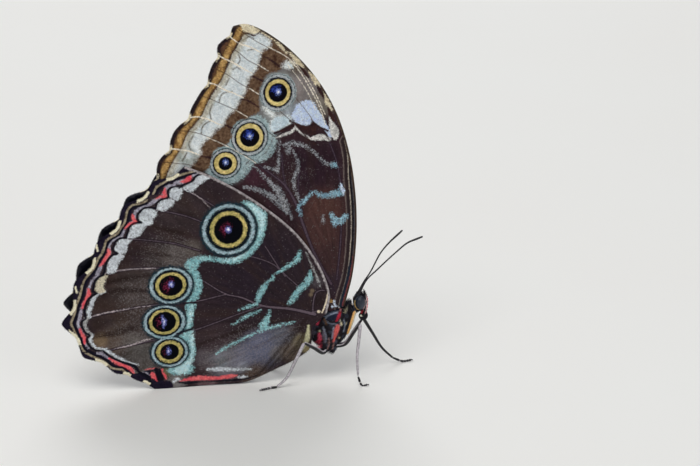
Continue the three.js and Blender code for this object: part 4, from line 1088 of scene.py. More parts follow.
class Wing:
    """One kind of wing: its mesh in the plane and everything painted on it.

    sharp says how pointed the bays of the margin are. place is the gap to the middle plane, how
    much of the bow the wing takes, and whether the left one is turned up. marks is the function
    that draws it, hub is where its scales fan out from, and frost_areas are pale dusted places:
    middle (x, z), reach and strength.
    """

    def __init__(self, costa, margin, inner, sharp, place, marks, ground, hub, frost_areas):
        self.offset, self.spread, self.raised = place
        self.loop, self.bay = wing_outline(costa, margin, inner, WING_SPACING, sharp)
        self.outer, self.outer_faces, self.outer_rim = triangulate(self.loop, WING_SPACING)
        self.inner, self.inner_faces, self.inner_rim = triangulate(self.loop, INNER_SPACING)
        front = curve(costa, 0.4)
        margin_line = scallops(margin, 0.3, sharp)

        x, z = self.outer.T
        bulge = 1.1 * clearance(x, z)
        px, pz = x + SLIDE[0] * bulge, z + SLIDE[1] * bulge
        edge = gap_to_loop(x, z, self.loop)
        nearest = np.full(len(x), -1.0)
        close = np.flatnonzero(edge < 1.2)
        gaps = np.hypot(x[close, None] - self.loop[None, :, 0], z[close, None] - self.loop[None, :, 1])
        nearest[close] = self.bay[gaps.argmin(1)]
        self.stored = marks(px, pz, edge, nearest, -cover_of_line(x, z, wide(0, *front)))
        self.stored["edge"] = -cover_of_line(x, z, wide(0, *margin_line))
        self.stored["ground"] = ground_colour(px, pz, ground)
        self.stored["frost"] = np.zeros(len(x))
        for cx, cz, reach, amount in frost_areas:
            frost = amount * smooth(np.hypot(px - cx, pz - cz), reach * 1.5, reach * 0.4)
            self.stored["frost"] = np.maximum(self.stored["frost"], frost)
        angle = np.arctan2(z - hub[1], x - hub[0]) % (2 * math.pi)
        reach = np.hypot(x - hub[0], z - hub[1])
        self.stored["flow"] = np.column_stack([angle * 26, reach * 0.22, np.zeros(len(x))])
        ridge = smooth(self.stored["vein"], -0.45, 0.1)
        self.relief = 0.06 * ridge + 0.035 * np.sin(angle * 41) * smooth(reach, 6, 16)

        x, z = self.inner.T
        border = cover_of_line(x, z, wide(7.0, *margin_line))
        border = np.maximum(border, cover_of_line(x, z, wide(3.0, *front)))
        border = np.maximum(border, cover_of_line(x, z, wide(2.6, *inner)))
        dots = np.full(len(x), FAR)
        for (ax, az, *_), (bx, bz, *_) in zip(margin[:-1], margin[1:]):
            mx, mz = (ax + bx) / 2, (az + bz) / 2
            length = math.hypot(mx - hub[0], mz - hub[1])
            cx, cz = mx - (mx - hub[0]) / length * 2.4, mz - (mz - hub[1]) / length * 2.4
            dots = np.maximum(dots, 0.45 - np.hypot(x - cx, z - cz))
        self.stored_inside = {"border": border, "dots": dots}

        # The corner, size and scale of the wing in its bake map.
        self.low = self.loop.min(0)
        self.span = self.loop.max(0) - self.low
        self.scale = MAP_PART / max(2 * self.span[0] + 2, self.span[1] + 6)

    def placed(self, x, z, out, side):
        """Points of the flat wing in their place on the model."""
        y = side * (self.offset + self.spread * clearance(x, z) + out)
        if side > 0:
            x, z = left_place(x, z, self.raised)
        return np.column_stack([x, y, np.maximum(z, 0)])

    def mapped(self, flat):
        """Places of the flat wing's points in the bake map."""
        return (flat - self.low) * self.scale + MAP_GAP

    def rim_map(self, top):
        """The rim's triangles in the bake map: a thin strip, above both sides of the wing."""
        k = np.arange(len(self.outer_rim))
        step = MAP_PART / len(k)
        triangles = []
        for corners in (((0, 0), (0, 1), (1, 0)), ((1, 0), (0, 1), (1, 1))):
            places = []
            for on, up in corners:
                places.append(np.column_stack([(k + on) * step, np.full(len(k), top + MAP_GAP * up)]))
            triangles.append(np.stack(places, 1))
        return np.vstack(triangles) + MAP_GAP

    def build(self, name, node, side, under):
        """The wing as one mesh: underside, upper side and the rim between them."""
        n = len(self.outer)
        outside = self.placed(*self.outer.T, UNDER_OUT + self.relief, side)
        points = np.vstack([outside, self.placed(*self.inner.T, UPPER_OUT, side)])
        a, b = self.outer_rim, np.roll(self.outer_rim, -1)
        c, d = self.inner_rim + n, np.roll(self.inner_rim, -1) + n
        walls = [np.column_stack([a, c, b]), np.column_stack([b, c, d])]
        faces = np.vstack([self.outer_faces, self.inner_faces[:, ::-1] + n] + walls)
        if side > 0:
            faces = faces[:, ::-1]
        piece = mesh_object(name, points, faces, [under, upper_side], "wings")
        mesh = piece.data
        upper_faces = slice(len(self.outer_faces), len(self.outer_faces) + len(self.inner_faces))
        kind = np.zeros(len(faces), np.int32)
        kind[upper_faces] = 1
        mesh.polygons.foreach_set("material_index", kind)
        for key, values in self.stored.items():
            whole = np.zeros((len(points),) + values.shape[1:])
            whole[:n] = values
            whole[n + self.inner_rim] = values[self.outer_rim]
            store(mesh, key, whole)
        for key, values in self.stored_inside.items():
            store(mesh, key, np.concatenate([np.full(n, FAR), values]))
        uv = self.mapped(np.vstack([self.outer, self.inner])[faces])
        uv[upper_faces, :, 0] += (self.span[0] + 2) * self.scale
        strip = self.rim_map((self.span[1] + 3) * self.scale + MAP_GAP)
        uv[upper_faces.stop:] = strip if side < 0 else strip[:, ::-1]
        bake_map(mesh, uv)
        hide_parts(node)


hindwing = Wing(
    HINDWING_COSTA, HINDWING_MARGIN, HINDWING_INNER, 0.2, (1.2, 1.1, True), hindwing_marks, HIND_GROUND,
    (15, 13.5),
    [(-20.5, 19.5, 4, 0.3), (-22, 11, 4, 0.34), (-20.4, 10.4, 2.4, 0.46), (-20, 6, 4, 0.3),
     (2, 6.5, 6, 0.36), (9, 9, 4, 0.36), (-15, 28, 5, 0.18), (-12, 28.6, 3.4, 0.36), (-13, 1.8, 2.2, 0.6),
     (-4, 5, 4, 0.38)],
)
forewing = Wing(
    FOREWING_COSTA, FOREWING_MARGIN, FOREWING_INNER, 0.9, (0.35, 1.0, False), forewing_marks, FORE_GROUND,
    (20, 17), [(12, 61, 5, 0.3), (10, 44, 4, 0.1), (7, 57, 3, 0.3)],
)
hindwing.build("hindwing_right_scaled", "hindwing_right", -1, hind_under)
hindwing.build("hindwing_left_scaled", "hindwing_left", 1, hind_under)
forewing.build("forewing_right_scaled", "forewing_right", -1, fore_under)
forewing.build("forewing_left_scaled", "forewing_left", 1, fore_under)


# ---------------------------------------------------------------- body: one skin

# Stations along the body (along, up, half height, half width), in its own slope.
THORAX = [
    (15.4, 0, 2.1, 1.6), (16.5, -0.2, 3.4, 2.2), (18.2, -0.4, 4.4, 2.6), (20.1, -0.3, 4.45, 2.7),
    (22, 0, 3.6, 2.4), (23.3, 0.2, 2.3, 1.8), (24.1, 0.3, 1.2, 1.0),
]
ABDOMEN = [
    (-0.9, 0, 0.35, 0.3), (0.4, 0, 1.0, 0.8), (3, 0, 1.65, 1.35), (6.5, 0, 2.05, 1.75),
    (10, 0, 2.15, 1.9), (13, 0, 1.95, 1.75), (15, 0, 1.3, 1.2), (16.5, 0, 1.2, 1.1),
]
# Stations of the head (x, z, half height, half width), upright.
HEAD = [
    (23.1, 13.5, 1.0, 0.9), (23.8, 14.75, 1.4, 0.95), (24.3, 15.4, 1.9, 1.1), (24.8, 15.75, 1.75, 1.05),
    (25.2, 15.85, 1.5, 0.9), (25.5, 15.95, 0.7, 0.5),
]
# Bulges on each side, at the roots of the legs and wings: middle (x, y, z) and radii.
SHOULDERS = (
    ((18.6, 1.7, 7.4), (1.0, 0.75, 1.5)), ((17.2, 1.5, 7.1), (0.9, 0.7, 1.2)),
    ((18.9, 2.2, 13.1), (1.5, 0.45, 1.6)),
)
COAT_DEPTH = 0.22
SKIN_STEP = 0.15
WAIST = 14.6


def loft(stations, slope, sides=40):
    """A closed skin over oval stations of (x, z, half height, half width). Slope tips them."""
    rows = curve(stations, 0.3)
    c, s = math.cos(slope), math.sin(slope)
    points = []
    for x, z, tall, broad in rows:
        tall, broad = max(tall - COAT_DEPTH, 0.12), max(broad - COAT_DEPTH, 0.1)
        for turn in circle(sides):
            up = tall * math.cos(turn)
            points.append((x - up * s, broad * math.sin(turn), z + up * c))
    return points, wound(len(rows), sides)


def ball(at, radii, sides=20):
    """An egg shape round a point."""
    rows = sides // 2
    points = [(at[0], at[1], at[2] - radii[2])]
    for r in range(1, rows):
        a = math.pi * r / rows
        for b in circle(sides):
            x = at[0] + radii[0] * math.sin(a) * math.cos(b)
            points.append((x, at[1] + radii[1] * math.sin(a) * math.sin(b), at[2] - radii[2] * math.cos(a)))
    points.append((at[0], at[1], at[2] + radii[2]))
    faces = []
    last_row = 1 + (rows - 2) * sides
    for k in range(sides):
        n = (k + 1) % sides
        faces.append((0, 1 + n, 1 + k))
        for a in range(1, last_row, sides):
            faces.append((a + k, a + n, a + n + sides, a + k + sides))
        faces.append((last_row + k, last_row + n, len(points) - 1))
    return points, faces


def sloped(stations):
    """Stations of the body's own slope, as x and z."""
    placed = []
    for u, v, tall, broad in stations:
        x = BODY_ORIGIN[0] + u * PITCH_COS - v * PITCH_SIN
        placed.append((x, BODY_ORIGIN[1] + u * PITCH_SIN + v * PITCH_COS, tall, broad))
    return placed


def one_skin(points, faces):
    """Closed shapes that overlap, melted into one even skin: its mesh."""
    rough_mesh = bpy.data.meshes.new("skin_rough")
    rough_mesh.from_pydata(points, [], faces)
    rough = bpy.data.objects.new("skin_rough", rough_mesh)
    bpy.context.scene.collection.objects.link(rough)
    remesh = rough.modifiers.new("remesh", "REMESH")
    remesh.mode = "VOXEL"
    remesh.voxel_size = SKIN_STEP
    even = rough.modifiers.new("even", "SMOOTH")
    even.factor = 0.5
    even.iterations = 6
    bpy.context.view_layer.update()
    solid = bpy.data.meshes.new_from_object(rough.evaluated_get(bpy.context.evaluated_depsgraph_get()))
    bpy.data.objects.remove(rough)
    return solid


shapes = [loft(sloped(THORAX), PITCH), loft(sloped(ABDOMEN), PITCH), loft(HEAD, 0.0)]
for side, _ in SIDES:
    for (x, y, z), radii in SHOULDERS:
        shapes.append(ball((x, side * y, z), radii))
solid = one_skin(*joined(shapes))
skin, skin_normals = read(solid, "co"), read(solid, "normal")
skin_loops = [tuple(polygon.vertices) for polygon in solid.polygons]
bpy.data.meshes.remove(solid)

# The marks of the body's sides: a colour and its strokes.
BODY_MARKS = [
    ((104, 96, 106), wide(0.8, (14.6, 9), (14.8, 12)),
     [(16.7, 11.4, 0.3), (17, 9.6, 0.8), (17.1, 8.2, 0.5)], [(14.9, 13.4, 0.4), (15.9, 14.5, 1.1)]),
    ((34, 42, 62), [(17.6, 13.4, 0.7), (18.5, 14, 1.8), (19.4, 14.3, 1.3), (20, 14.6, 0.6)]),
    ((148, 156, 174), wide(0.22, (17, 13.1), (17.8, 14), (19, 14.5), (19.9, 14.5)),
     wide(0.2, (17, 13), (18.1, 12.3), (19, 12.2), (20.1, 11.7)),
     wide(0.24, (18.75, 11.5), (18.6, 10.4), (18.5, 9)), wide(0.16, (16.6, 11.6), (17.2, 9.8), (17.4, 8.2)),
     wide(0.2, (20.9, 12.9), (21.1, 11.6), (20.8, 10.2))),
    ((120, 84, 50), wide(0.34, (16.9, 13.2), (17.4, 12.2))),
    ((168, 40, 58), [(19.4, 13, 0.5), (19.8, 13.8, 0.7), (20.15, 14.4, 0.5)]),
    ((236, 70, 94), [(15.5, 12.1, 0.5), (15.75, 13.2, 0.8)]),
    ((216, 78, 102), [(15.9, 10.2, 0.4), (16.05, 9.2, 0.75), (16.2, 8, 0.6), (16.3, 7, 0.3)]),
    ((226, 104, 100), [(18.8, 8.3, 0.3), (19.1, 9.6, 0.75), (19.4, 10.9, 1.05), (19.6, 11.7, 0.8)]),
    ((232, 138, 140), wide(0.3, (20.2, 14.6), (20.35, 14.8)), wide(0.4, (15.8, 13.6), (15.85, 13.9))),
    ((206, 196, 168), wide(0.4, (20.25, 12.4), (20.4, 11.9)), wide(0.3, (15.95, 10.8), (16, 10.6)),
     wide(0.3, (21.2, 14.15), (21.45, 14)), wide(0.16, (20, 13), (20.1, 12.7)),
     wide(0.16, (21.5, 12.2), (21.3, 11.7)), wide(0.14, (19.9, 9.2), (20.1, 8.8))),
    ((176, 136, 130), wide(0.16, (17.8, 9.2), (17.9, 7.9), (17.5, 6.6)),
     wide(0.16, (18.8, 8.1), (18.6, 6.9))),
    ((200, 166, 108), wide(0.2, (21.6, 16), (22.2, 15.3), (22.7, 14.6))),
]


def body_colour(points):
    """The colours of the body's fur and skin: blue-black with cream, red and yellow marks."""
    x, y, z = points.T
    u, v = along_body(x, z)
    colour = plain_coat((34, 30, 36), len(points))

    def put(colour, shade, cover, soft=0.12):
        return blend(colour, shade, smooth(cover, -soft, soft))

    colour = put(colour, (150, 140, 122), np.where(u < WAIST, -v - 0.5, FAR), 0.5)
    colour = put(colour, (74, 62, 58), np.where(u < WAIST, 0.5 - np.abs(v + 0.4), FAR), 0.4)
    outer = np.abs(y) > 0.5
    sheen = 0.5 + 0.5 * np.sin(x * 3.1 + z * 1.7) * np.sin(z * 2.3 - x * 1.1 + 0.7)
    colour = put(colour, (62, 66, 78), np.where(outer & (u > 15), sheen - 0.72, FAR), 0.2)
    for shade, *paths in BODY_MARKS:
        colour = put(colour, shade, np.where(outer, lines(x, z, *paths), FAR))
    return colour


def body_map(points):
    """A place on the unwrapped body for each point: along it, and round it."""
    x, y, z = points.T
    axis = np.interp(x, [0, 16, 21, 23.4, 24.4, 26], [5, 10.9, 12.7, 14, 15.4, 15.9])
    return np.column_stack([(x + 3) / 32, (np.arctan2(y, z - axis) / (2 * math.pi) + 0.5) * 0.9 + 0.02])


fur_paint = Paint("body_coat", 0.7, 0.18)
fur_tone = fur_paint.vary(fur_paint.stored("tint", "Color"), fur_paint.noise(0.25), 0.3, 0.7, 0.75, 1.25)
fur_paint.bump(fur_paint.noise(0.12, 3.0), 0.05)
fur = fur_paint.base(fur_tone)

body = mesh_object("body_skin", skin, skin_loops, [fur], "body")
store(body.data, "tint", body_colour(skin))
skin_map = body_map(skin)
map_corners = []
for face in skin_loops:
    corners = skin_map[list(face)]
    around = corners[:, 1]
    if around.max() - around.min() > 0.45:
        # A face across the map's seam goes to its far edge.
        around[:] = np.minimum(np.where(around < 0.47, around + 0.9, around), 0.999)
    map_corners.append(corners)
bake_map(body.data, np.vstack(map_corners))
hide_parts("thorax", "abdomen", "head")


# ---------------------------------------------------------------- body: coat

BODY_HAIRS = 15000
HAIR_SIDES = 3
# A hair's points: two rings of three and the tip.
HAIR_POINTS = 2 * HAIR_SIDES + 1
HAIR_RINGS = ((0.0, 1.0), (0.55, 0.7))
HAIR_FACES = [
    (0, 1, 4), (0, 4, 3), (1, 2, 5), (1, 5, 4), (2, 0, 3), (2, 3, 5), (3, 4, 6), (4, 5, 6), (5, 3, 6),
]
HAIR_MAP = np.array([(0, 0), (1, 0), (0.5, 0.4), (0.2, 0.6), (0.8, 0.6), (0.5, 0.8), (0.5, 1)]) * 0.003


def tufts(name, roots, directions, lengths, widths, tints, uv, slot, material, droop=0.0):
    """Tapering hairs: each a three-sided spike of two joints that bends over as it grows."""
    n = len(roots)
    d = unit(directions)
    a = unit(np.cross(d, rng.normal(size=(n, 3))))
    b = np.cross(d, a)
    rows = []
    for share, size in HAIR_RINGS:
        centre = roots + d * (lengths * share)[:, None] + droop * (lengths * share**2)[:, None]
        for turn in circle(HAIR_SIDES):
            rows.append(centre + (a * math.cos(turn) + b * math.sin(turn)) * (widths * size / 2)[:, None])
    rows.append(roots + d * lengths[:, None] + droop * lengths[:, None])
    points = np.stack(rows, 1).reshape(-1, 3)
    base = np.arange(n)[:, None] * HAIR_POINTS
    faces = np.vstack([base + np.array(face) for face in HAIR_FACES])
    piece = mesh_object(name, points, faces, [material], slot)
    store(piece.data, "tint", np.repeat(tints, HAIR_POINTS, 0))
    bake_map(piece.data, (uv[:, None, :] + HAIR_MAP).reshape(-1, 2)[faces])
    return piece


def scatter(total, keep):
    """Random points of the skin, even by area, where keep says how likely a hair is."""
    triangles = np.array([(f[0], f[k], f[k + 1]) for k in (1, 2) for f in skin_loops if len(f) > k + 1])
    p, q, r = (skin[triangles[:, k]] for k in range(3))
    area = np.linalg.norm(np.cross(q - p, r - p), axis=1) * keep((p + q + r) / 3)
    chosen = rng.choice(len(triangles), total, p=area / area.sum())
    s, t = rng.random((2, total))
    flip = s + t > 1
    s, t = np.where(flip, 1 - s, s)[:, None], np.where(flip, 1 - t, t)[:, None]
    p, q, r = p[chosen], q[chosen], r[chosen]
    return p + (q - p) * s + (r - p) * t, unit(skin_normals[triangles[chosen, 0]])


def body_keep(points):
    """How likely hairs are: few on the abdomen, many on the head, none under the eyes."""
    x, y, z = points.T
    eye = np.hypot((x - 24.45) / 1.0, (z - 16.05) / 1.45) < 1
    keep = np.where(x > WAIST, 1.0, 0.35)
    keep = np.where(x > 21.3, 1.8, keep)
    return np.where(eye & (np.abs(y) > 0.8), 0.0, keep)


def towards(rows, goal, share):
    """Rows taken towards a goal, each by its own share."""
    return rows + (goal - rows) * share


roots, normals = scatter(BODY_HAIRS, body_keep)
x, y, z = roots.T
on_head = x > 23.4
backward = np.where(on_head[:, None], (0.25, 0, 0.75), (-PITCH_COS, 0, -PITCH_SIN))
flank = smooth(np.abs(normals[:, 1]), 0.4, 0.7)
lengths = np.where(x < WAIST, 0.5, np.where(on_head, 0.55, 0.85 - 0.45 * flank))
lengths = lengths * rng.uniform(0.6, 1.25, len(roots))
# The collar, the crown and the nape stand up in taller tufts.
collar = smooth(x, 21, 21.8) * smooth(x, 24.2, 23.8) * smooth(normals[:, 2], 0, 0.4) * smooth(z, 13.2, 14)
crown = smooth(x, 23.2, 23.5) * smooth(x, 24.9, 24.4) * smooth(z, 16.6, 17)
nape = smooth(x, 22.8, 23.1) * smooth(x, 24.1, 23.8) * smooth(z, 14.8, 15.4)
tall = np.clip(np.where(x < 22.1, 16.7, 17.2) - z, 0.3, 2.4) * rng.uniform(0.65, 1.0, len(roots))
lengths = towards(lengths * (1 + 0.7 * crown), tall, collar)
ways = normals * 0.45 + backward * 0.75 + rng.normal(size=roots.shape) * 0.16
ways = towards(ways, np.array((0.3, 0, 1.3)), (collar * 0.85)[:, None])
ways = towards(ways, np.array((-0.7, 0, 1.0)), (nape * 0.9)[:, None])
lengths = towards(lengths, np.clip(17.3 - z, 0.35, 1.3) * rng.uniform(0.7, 1.0, len(roots)), nape)
tints = body_colour(roots)
tints[:, :3] *= rng.uniform(0.7, 1.45, len(roots))[:, None]
tufts(
    "body_coat", roots, ways, lengths, 0.07 + 0.03 * collar, tints, body_map(roots), "body", fur,
    backward * (0.25 * (1 - collar))[:, None],
)


# ---------------------------------------------------------------- eyes

eye_paint = Paint("eye", 0.28, 0.5)
facets = eye_paint.cells(0.13, "Distance")
eye_tone = eye_paint.mix(eye_paint.noise(1.1), tone((16, 20, 28)), tone((40, 50, 66)))
eye_tone = eye_paint.mix(eye_paint.span(facets, 0.3, 0.7, 0.0, 0.35), eye_tone, ink(10, 10, 14))
eye_paint.bump(eye_paint.maths("MULTIPLY", facets, -1.0), 0.03)
eye_material = eye_paint.base(eye_tone)
for side, name in SIDES:
    points, faces = ball((24.32, side * 1.02, 15.87), (1.05, 1.06, 1.46), 64)
    eye = mesh_object("eye_" + name + "_faceted", points, faces, [eye_material], "eyes")
    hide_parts("eye_" + name)


# ---------------------------------------------------------------- legs and feelers

LIMB_SIDES = 12
limb_paint = Paint("limb", 0.45, 0.35)
limb_dark = limb_paint.mix(limb_paint.cells(0.14), tone((10, 9, 12)), tone((34, 32, 36)))
# Pale grey: the feet's own pale rings, and a painted highlight on the side of the legs that the light falls
# on.
limb_rings_and_highlight = limb_paint.mix(limb_paint.cells(0.14), tone((120, 114, 120)), tone((190, 184, 190)))
limb_tone = limb_paint.mix(limb_paint.span(limb_paint.stored("pale"), 0.3, 0.7), limb_dark, limb_rings_and_highlight)
limb_paint.bump(limb_paint.cells(0.12, "Distance"), 0.04)
limb_material = limb_paint.base(limb_tone)


def tube(path, sides=LIMB_SIDES, spacing=0.12, shape=None):
    """A round limb along rows of (x, y, z, radius). shape changes the radius by place along it."""
    line = curve(path, spacing)
    centre, radius = line[:, :3], line[:, 3]
    run = lengths_along(centre)
    if shape is not None:
        radius = radius * shape(run, run[-1])
    ends = np.minimum(run, run[-1] - run)
    radius = radius * np.sqrt(np.clip(1 - (1 - np.clip(ends / radius, 0, 1)) ** 2, 0.02, 1))
    tangent = unit(np.gradient(centre, axis=0))
    across = np.cross(tangent, (0.0, 1.0, 0.0))
    weak = np.linalg.norm(across, axis=1) < 0.2
    across[weak] = np.cross(tangent[weak], (1.0, 0.0, 0.0))
    across = unit(across)
    other = np.cross(tangent, across)
    rows = []
    for turn in circle(sides):
        rows.append(centre + (across * math.cos(turn) + other * math.sin(turn)) * radius[:, None])
    return np.stack(rows, 1).reshape(-1, 3).tolist(), wound(len(centre), sides, flip=True)


# The node, how dark its shins are (painted shade: less painted highlight, as on the far legs), and
# the path: hip, root of the thigh, knee, middle of the shin, ankle, and two more points along the foot.
LEGS = [
    ("midleg_right", 0.0,
     [(18.9, -1.9, 7, 0.36), (21.1, -3, 8, 0.38), (23.8, -4.5, 12.8, 0.36), (23, -5.4, 5.8, 0.31),
      (23.1, -6, 1.9, 0.28), (23.7, -6.4, 0.2, 0.26), (24.9, -6.6, 0.2, 0.26)]),
    ("midleg_left", 0.6,
     [(18.9, 2, 6.6, 0.36), (21.9, 2.5, 6.1, 0.38), (25.5, 2.8, 11.1, 0.34), (29.5, 4, 4, 0.3),
      (31.9, 4.6, 1.3, 0.27), (34, 5, 0.2, 0.26), (35.9, 5.4, 0.2, 0.26)]),
    ("hindleg_right", 0.1,
     [(17.5, -1.7, 6.7, 0.42), (16.6, -2.4, 6.1, 0.46), (12.4, -4.6, 9.3, 0.4), (9, -4.6, 2.3, 0.34),
      (6.8, -4.9, 0.2, 0.3), (5.2, -5.3, 0.2, 0.28), (3.4, -6, 0.2, 0.28)]),
    ("hindleg_left", 0.6,
     [(17.5, 1.7, 6.7, 0.42), (16.6, 2.4, 6.1, 0.46), (12.6, 4.6, 9.5, 0.4), (9.4, 4.8, 2.3, 0.34),
      (7.2, 5.2, 0.2, 0.3), (5.7, 5.6, 0.2, 0.28), (4, 6.3, 0.2, 0.28)]),
]
FOOT_JOINTS = (0, 0.42, 0.6, 0.74, 0.86, 1.0)
FOOT_HEIGHT = 0.26
# A claw's points: ahead, across and up from the tip, and its radius there.
CLAW = ((0, 0, 0, 0.1), (0.2, 0.12, 0.02, 0.08), (0.32, 0.16, -0.14, 0.04))


def thigh_shape(run, full):
    return 0.72 + 0.22 * np.sin(math.pi * run / full)


def shin_shape(run, full):
    return 1.0 - 0.22 * smooth(run, 0, full) + 0.08 * np.exp(-((run - full) / 0.5) ** 2)


def joint_shape(run, full):
    return 0.72 + 0.26 * smooth(run, 0, full)


def feeler_shape(run, full):
    """Rings along a feeler, a third of a millimetre apart."""
    return 1.0 + 0.1 * np.cos(2 * math.pi * run / 0.36)


def highlight_share(points, low, high, across, up):
    """How much painted highlight a limb's points get: most on the side that faces out and up."""
    rows = np.array(points).reshape(-1, LIMB_SIDES, 3)
    middle = rows.mean(1, keepdims=True)
    out = unit(rows - middle)
    out[..., 2] /= np.maximum(out[..., 2].max(1, keepdims=True), 0.3)
    away = np.sign(middle[..., 1]) * out[..., 1]
    return smooth(away * across + out[..., 2] * up, low, high).ravel().tolist()


def limb(name, node, parts, pale=None):
    """A limb's piece from its parts, with how pale each point is: painted highlight, and the feet's pale
    rings.
    """
    points, faces = joined(parts)
    points = [(x, y, max(z, 0)) for x, y, z in points]
    piece = mesh_object(name, points, faces, [limb_material], "limbs")
    store(piece.data, "pale", pale or np.zeros(len(points)))
    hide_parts(node)


for node, dark, path in LEGS:
    p = np.array(path, float)
    p[4:, 2] = np.maximum(p[4:, 2], FOOT_HEIGHT)
    thigh = tube([p[0], p[1], p[1] + (p[2] - p[1]) * 0.5, p[2]], shape=thigh_shape)
    shin = tube([p[2], p[2] + (p[3] - p[2]) * 0.5, p[3], p[4]], shape=shin_shape)
    parts = [thigh, shin]
    # Painted highlight: a pale line along the top of the thigh and on the outer side of the shin, less on the
    # far legs' shins.
    pale = highlight_share(thigh[0], 0.62, 0.82, 0.1, 1.0)
    pale += highlight_share(shin[0], 0.2 + dark, 0.6 + dark, 0.8, 0.3)
    foot = curve(p[4:], 0.05)
    run = lengths_along(foot[:, :3])
    for start, end in zip(FOOT_JOINTS[:-1], FOOT_JOINTS[1:]):
        rows = foot[(run >= start * run[-1] - 0.02) & (run <= end * run[-1] + 0.08)]
        picked = np.unique(np.linspace(0, len(rows) - 1, 6).round().astype(int))
        parts.append(tube(rows[picked], spacing=0.06, shape=joint_shape))
        n = len(parts[-1][0])
        pale += [1.0 if k > n * 0.8 else 0.0 for k in range(n)]
    tip = foot[-1, :3]
    ahead = unit(tip - foot[-8, :3])
    across = np.array((-ahead[1], ahead[0], 0.0))
    for way in (-1, 1):
        rows = [(*(tip + ahead * a + across * way * b + (0, 0, up)), radius) for a, b, up, radius in CLAW]
        parts.append(tube(rows, sides=8, spacing=0.04))
        pale += [0.0] * len(parts[-1][0])
    limb(node + "_jointed", node, parts, pale)


# The feelers' paths, from the head to the club.
FEELERS = {
    "right": [(24, -0.75, 17.3, 0.21), (25.4, -1.1, 20.4, 0.16), (27.7, -1.8, 23.1, 0.15),
              (31.2, -2.7, 26.8, 0.15), (33.4, -3.3, 28.9, 0.17), (35.4, -3.75, 29.9, 0.21),
              (36.5, -4, 30.4, 0.17)],
    "left": [(24.1, 0.75, 17.3, 0.21), (25.4, 1.4, 19.3, 0.16), (26.9, 2.2, 21.1, 0.15),
             (29.2, 3.8, 24.4, 0.15), (31.2, 4.9, 26.2, 0.17), (33, 5.6, 27.5, 0.21), (34.1, 6, 28.3, 0.17)],
}
for side, name in SIDES:
    stem = tube(FEELERS[name], spacing=0.06, shape=feeler_shape)
    socket = ball((24.05, side * 0.75, 17.3), (0.32, 0.32, 0.36), 16)
    limb("antenna_" + name + "_ringed", "antenna_" + name, [stem, socket])


# ---------------------------------------------------------------- palps, forelegs and proboscis

# Name, slot, path, the line through its middle (heights, then x at each), and its colours. Each
# colour after the first covers what all its spans say: 0 is ahead of the middle line, 1 is height.
# The last row is for the short hairs: how many, how long, which way they lean and their colour.
FRONT = ((0, -0.02, 0.06), (1, 17.4, 16.8), (1, 13.2, 13.8))
SOFT_LIMBS = [
    ("palp", "body",
     [(24.8, 0.84, 12.9, 0.34), (25.45, 0.78, 14.1, 0.34), (25.7, 0.66, 15.9, 0.34), (25.3, 0.52, 18, 0.2)],
     ([12.6, 14.1, 15.9, 18], [24.8, 25.45, 25.7, 25.3]), (26, 24, 28),
     [((236, 196, 196), FRONT), ((206, 84, 92), FRONT + ((0, 0.12, 0.2),))],
     (240, 0.3, (-0.4, 0, 0.9), (26, 22, 26))),
    ("foreleg", "limbs", [(21.5, 2.35, 9.7, 0.22), (22.3, 2.5, 12.2, 0.38), (23.15, 1.9, 14.5, 0.38)],
     ([9.7, 12.2, 14.5], [21.5, 22.3, 23.15]), (196, 150, 92),
     [((226, 210, 180), ((0, -0.05, 0.1), (1, 10, 13))), ((30, 24, 26), ((0, 0.14, 0.22),))],
     (120, 0.26, (0.1, 0, -0.9), (196, 160, 108))),
]
tuft_roots, tuft_ways, tuft_lengths, tuft_tints = [], [], [], []


def furry(points, path, count, length, lean, shade):
    """Keeps short hairs over a limb for the coat that is made at the end."""
    centre = curve(path, 0.1)[:, :3]
    nearest = np.linalg.norm(points[:, None] - centre[None], axis=2).argmin(1)
    out = unit(points - centre[nearest])
    chosen = rng.integers(0, len(points), count)
    tuft_roots.append(points[chosen])
    tuft_ways.append(out[chosen] * 0.6 + np.array(lean) * 0.8 + rng.normal(size=(count, 3)) * 0.12)
    tints = plain_coat(shade, count)
    tints[:, :3] *= rng.uniform(0.6, 1.4, count)[:, None]
    tuft_tints.append(tints)
    tuft_lengths.append(length * rng.uniform(0.6, 1.3, count))


def soft_piece(name, node, points, faces, slot, tints):
    """A piece in the body's own fur colours."""
    piece = mesh_object(name, points, faces, [fur], slot)
    store(piece.data, "tint", tints)
    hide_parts(node)


for side, name in SIDES:
    for part, slot, path, (heights, middles), shade, colours, hairs in SOFT_LIMBS:
        path = [(x, side * y, z, r * 0.8) for x, y, z, r in path]
        points, faces = tube(path, spacing=0.1)
        points = np.array(points)
        x, _, z = points.T
        measures = (x - np.interp(z, heights, middles), z)
        tints = plain_coat(shade, len(points))
        for colour, spans in colours:
            share = np.ones(len(points))
            for measure, low, high in spans:
                share = share * smooth(measures[measure], low, high)
            tints = blend(tints, colour, share)
        soft_piece(part + "_" + name + "_scaled", part + "_" + name, points, faces, slot, tints)
        furry(points, path, *hairs)
    # Short hairs on the rim of the eye: ochre behind it, rosy in front.
    turns = np.concatenate([rng.uniform(2.75, 4.3, 200), rng.uniform(-1.2, 0.3, 70)])
    rim = np.column_stack([
        24.3 + 1.1 * np.cos(turns), np.full(len(turns), side * 1.08), 15.87 + 1.5 * np.sin(turns)
    ])
    tuft_roots.append(rim + rng.normal(size=rim.shape) * 0.04)
    tuft_ways.append(np.column_stack([-np.sin(turns), np.full(len(turns), side * 0.5), np.cos(turns)]))
    tuft_lengths.append(rng.uniform(0.16, 0.28, len(turns)))
    tuft_tints.append(np.where(turns[:, None] > 1.5, tone((214, 176, 118)), tone((226, 176, 176))))


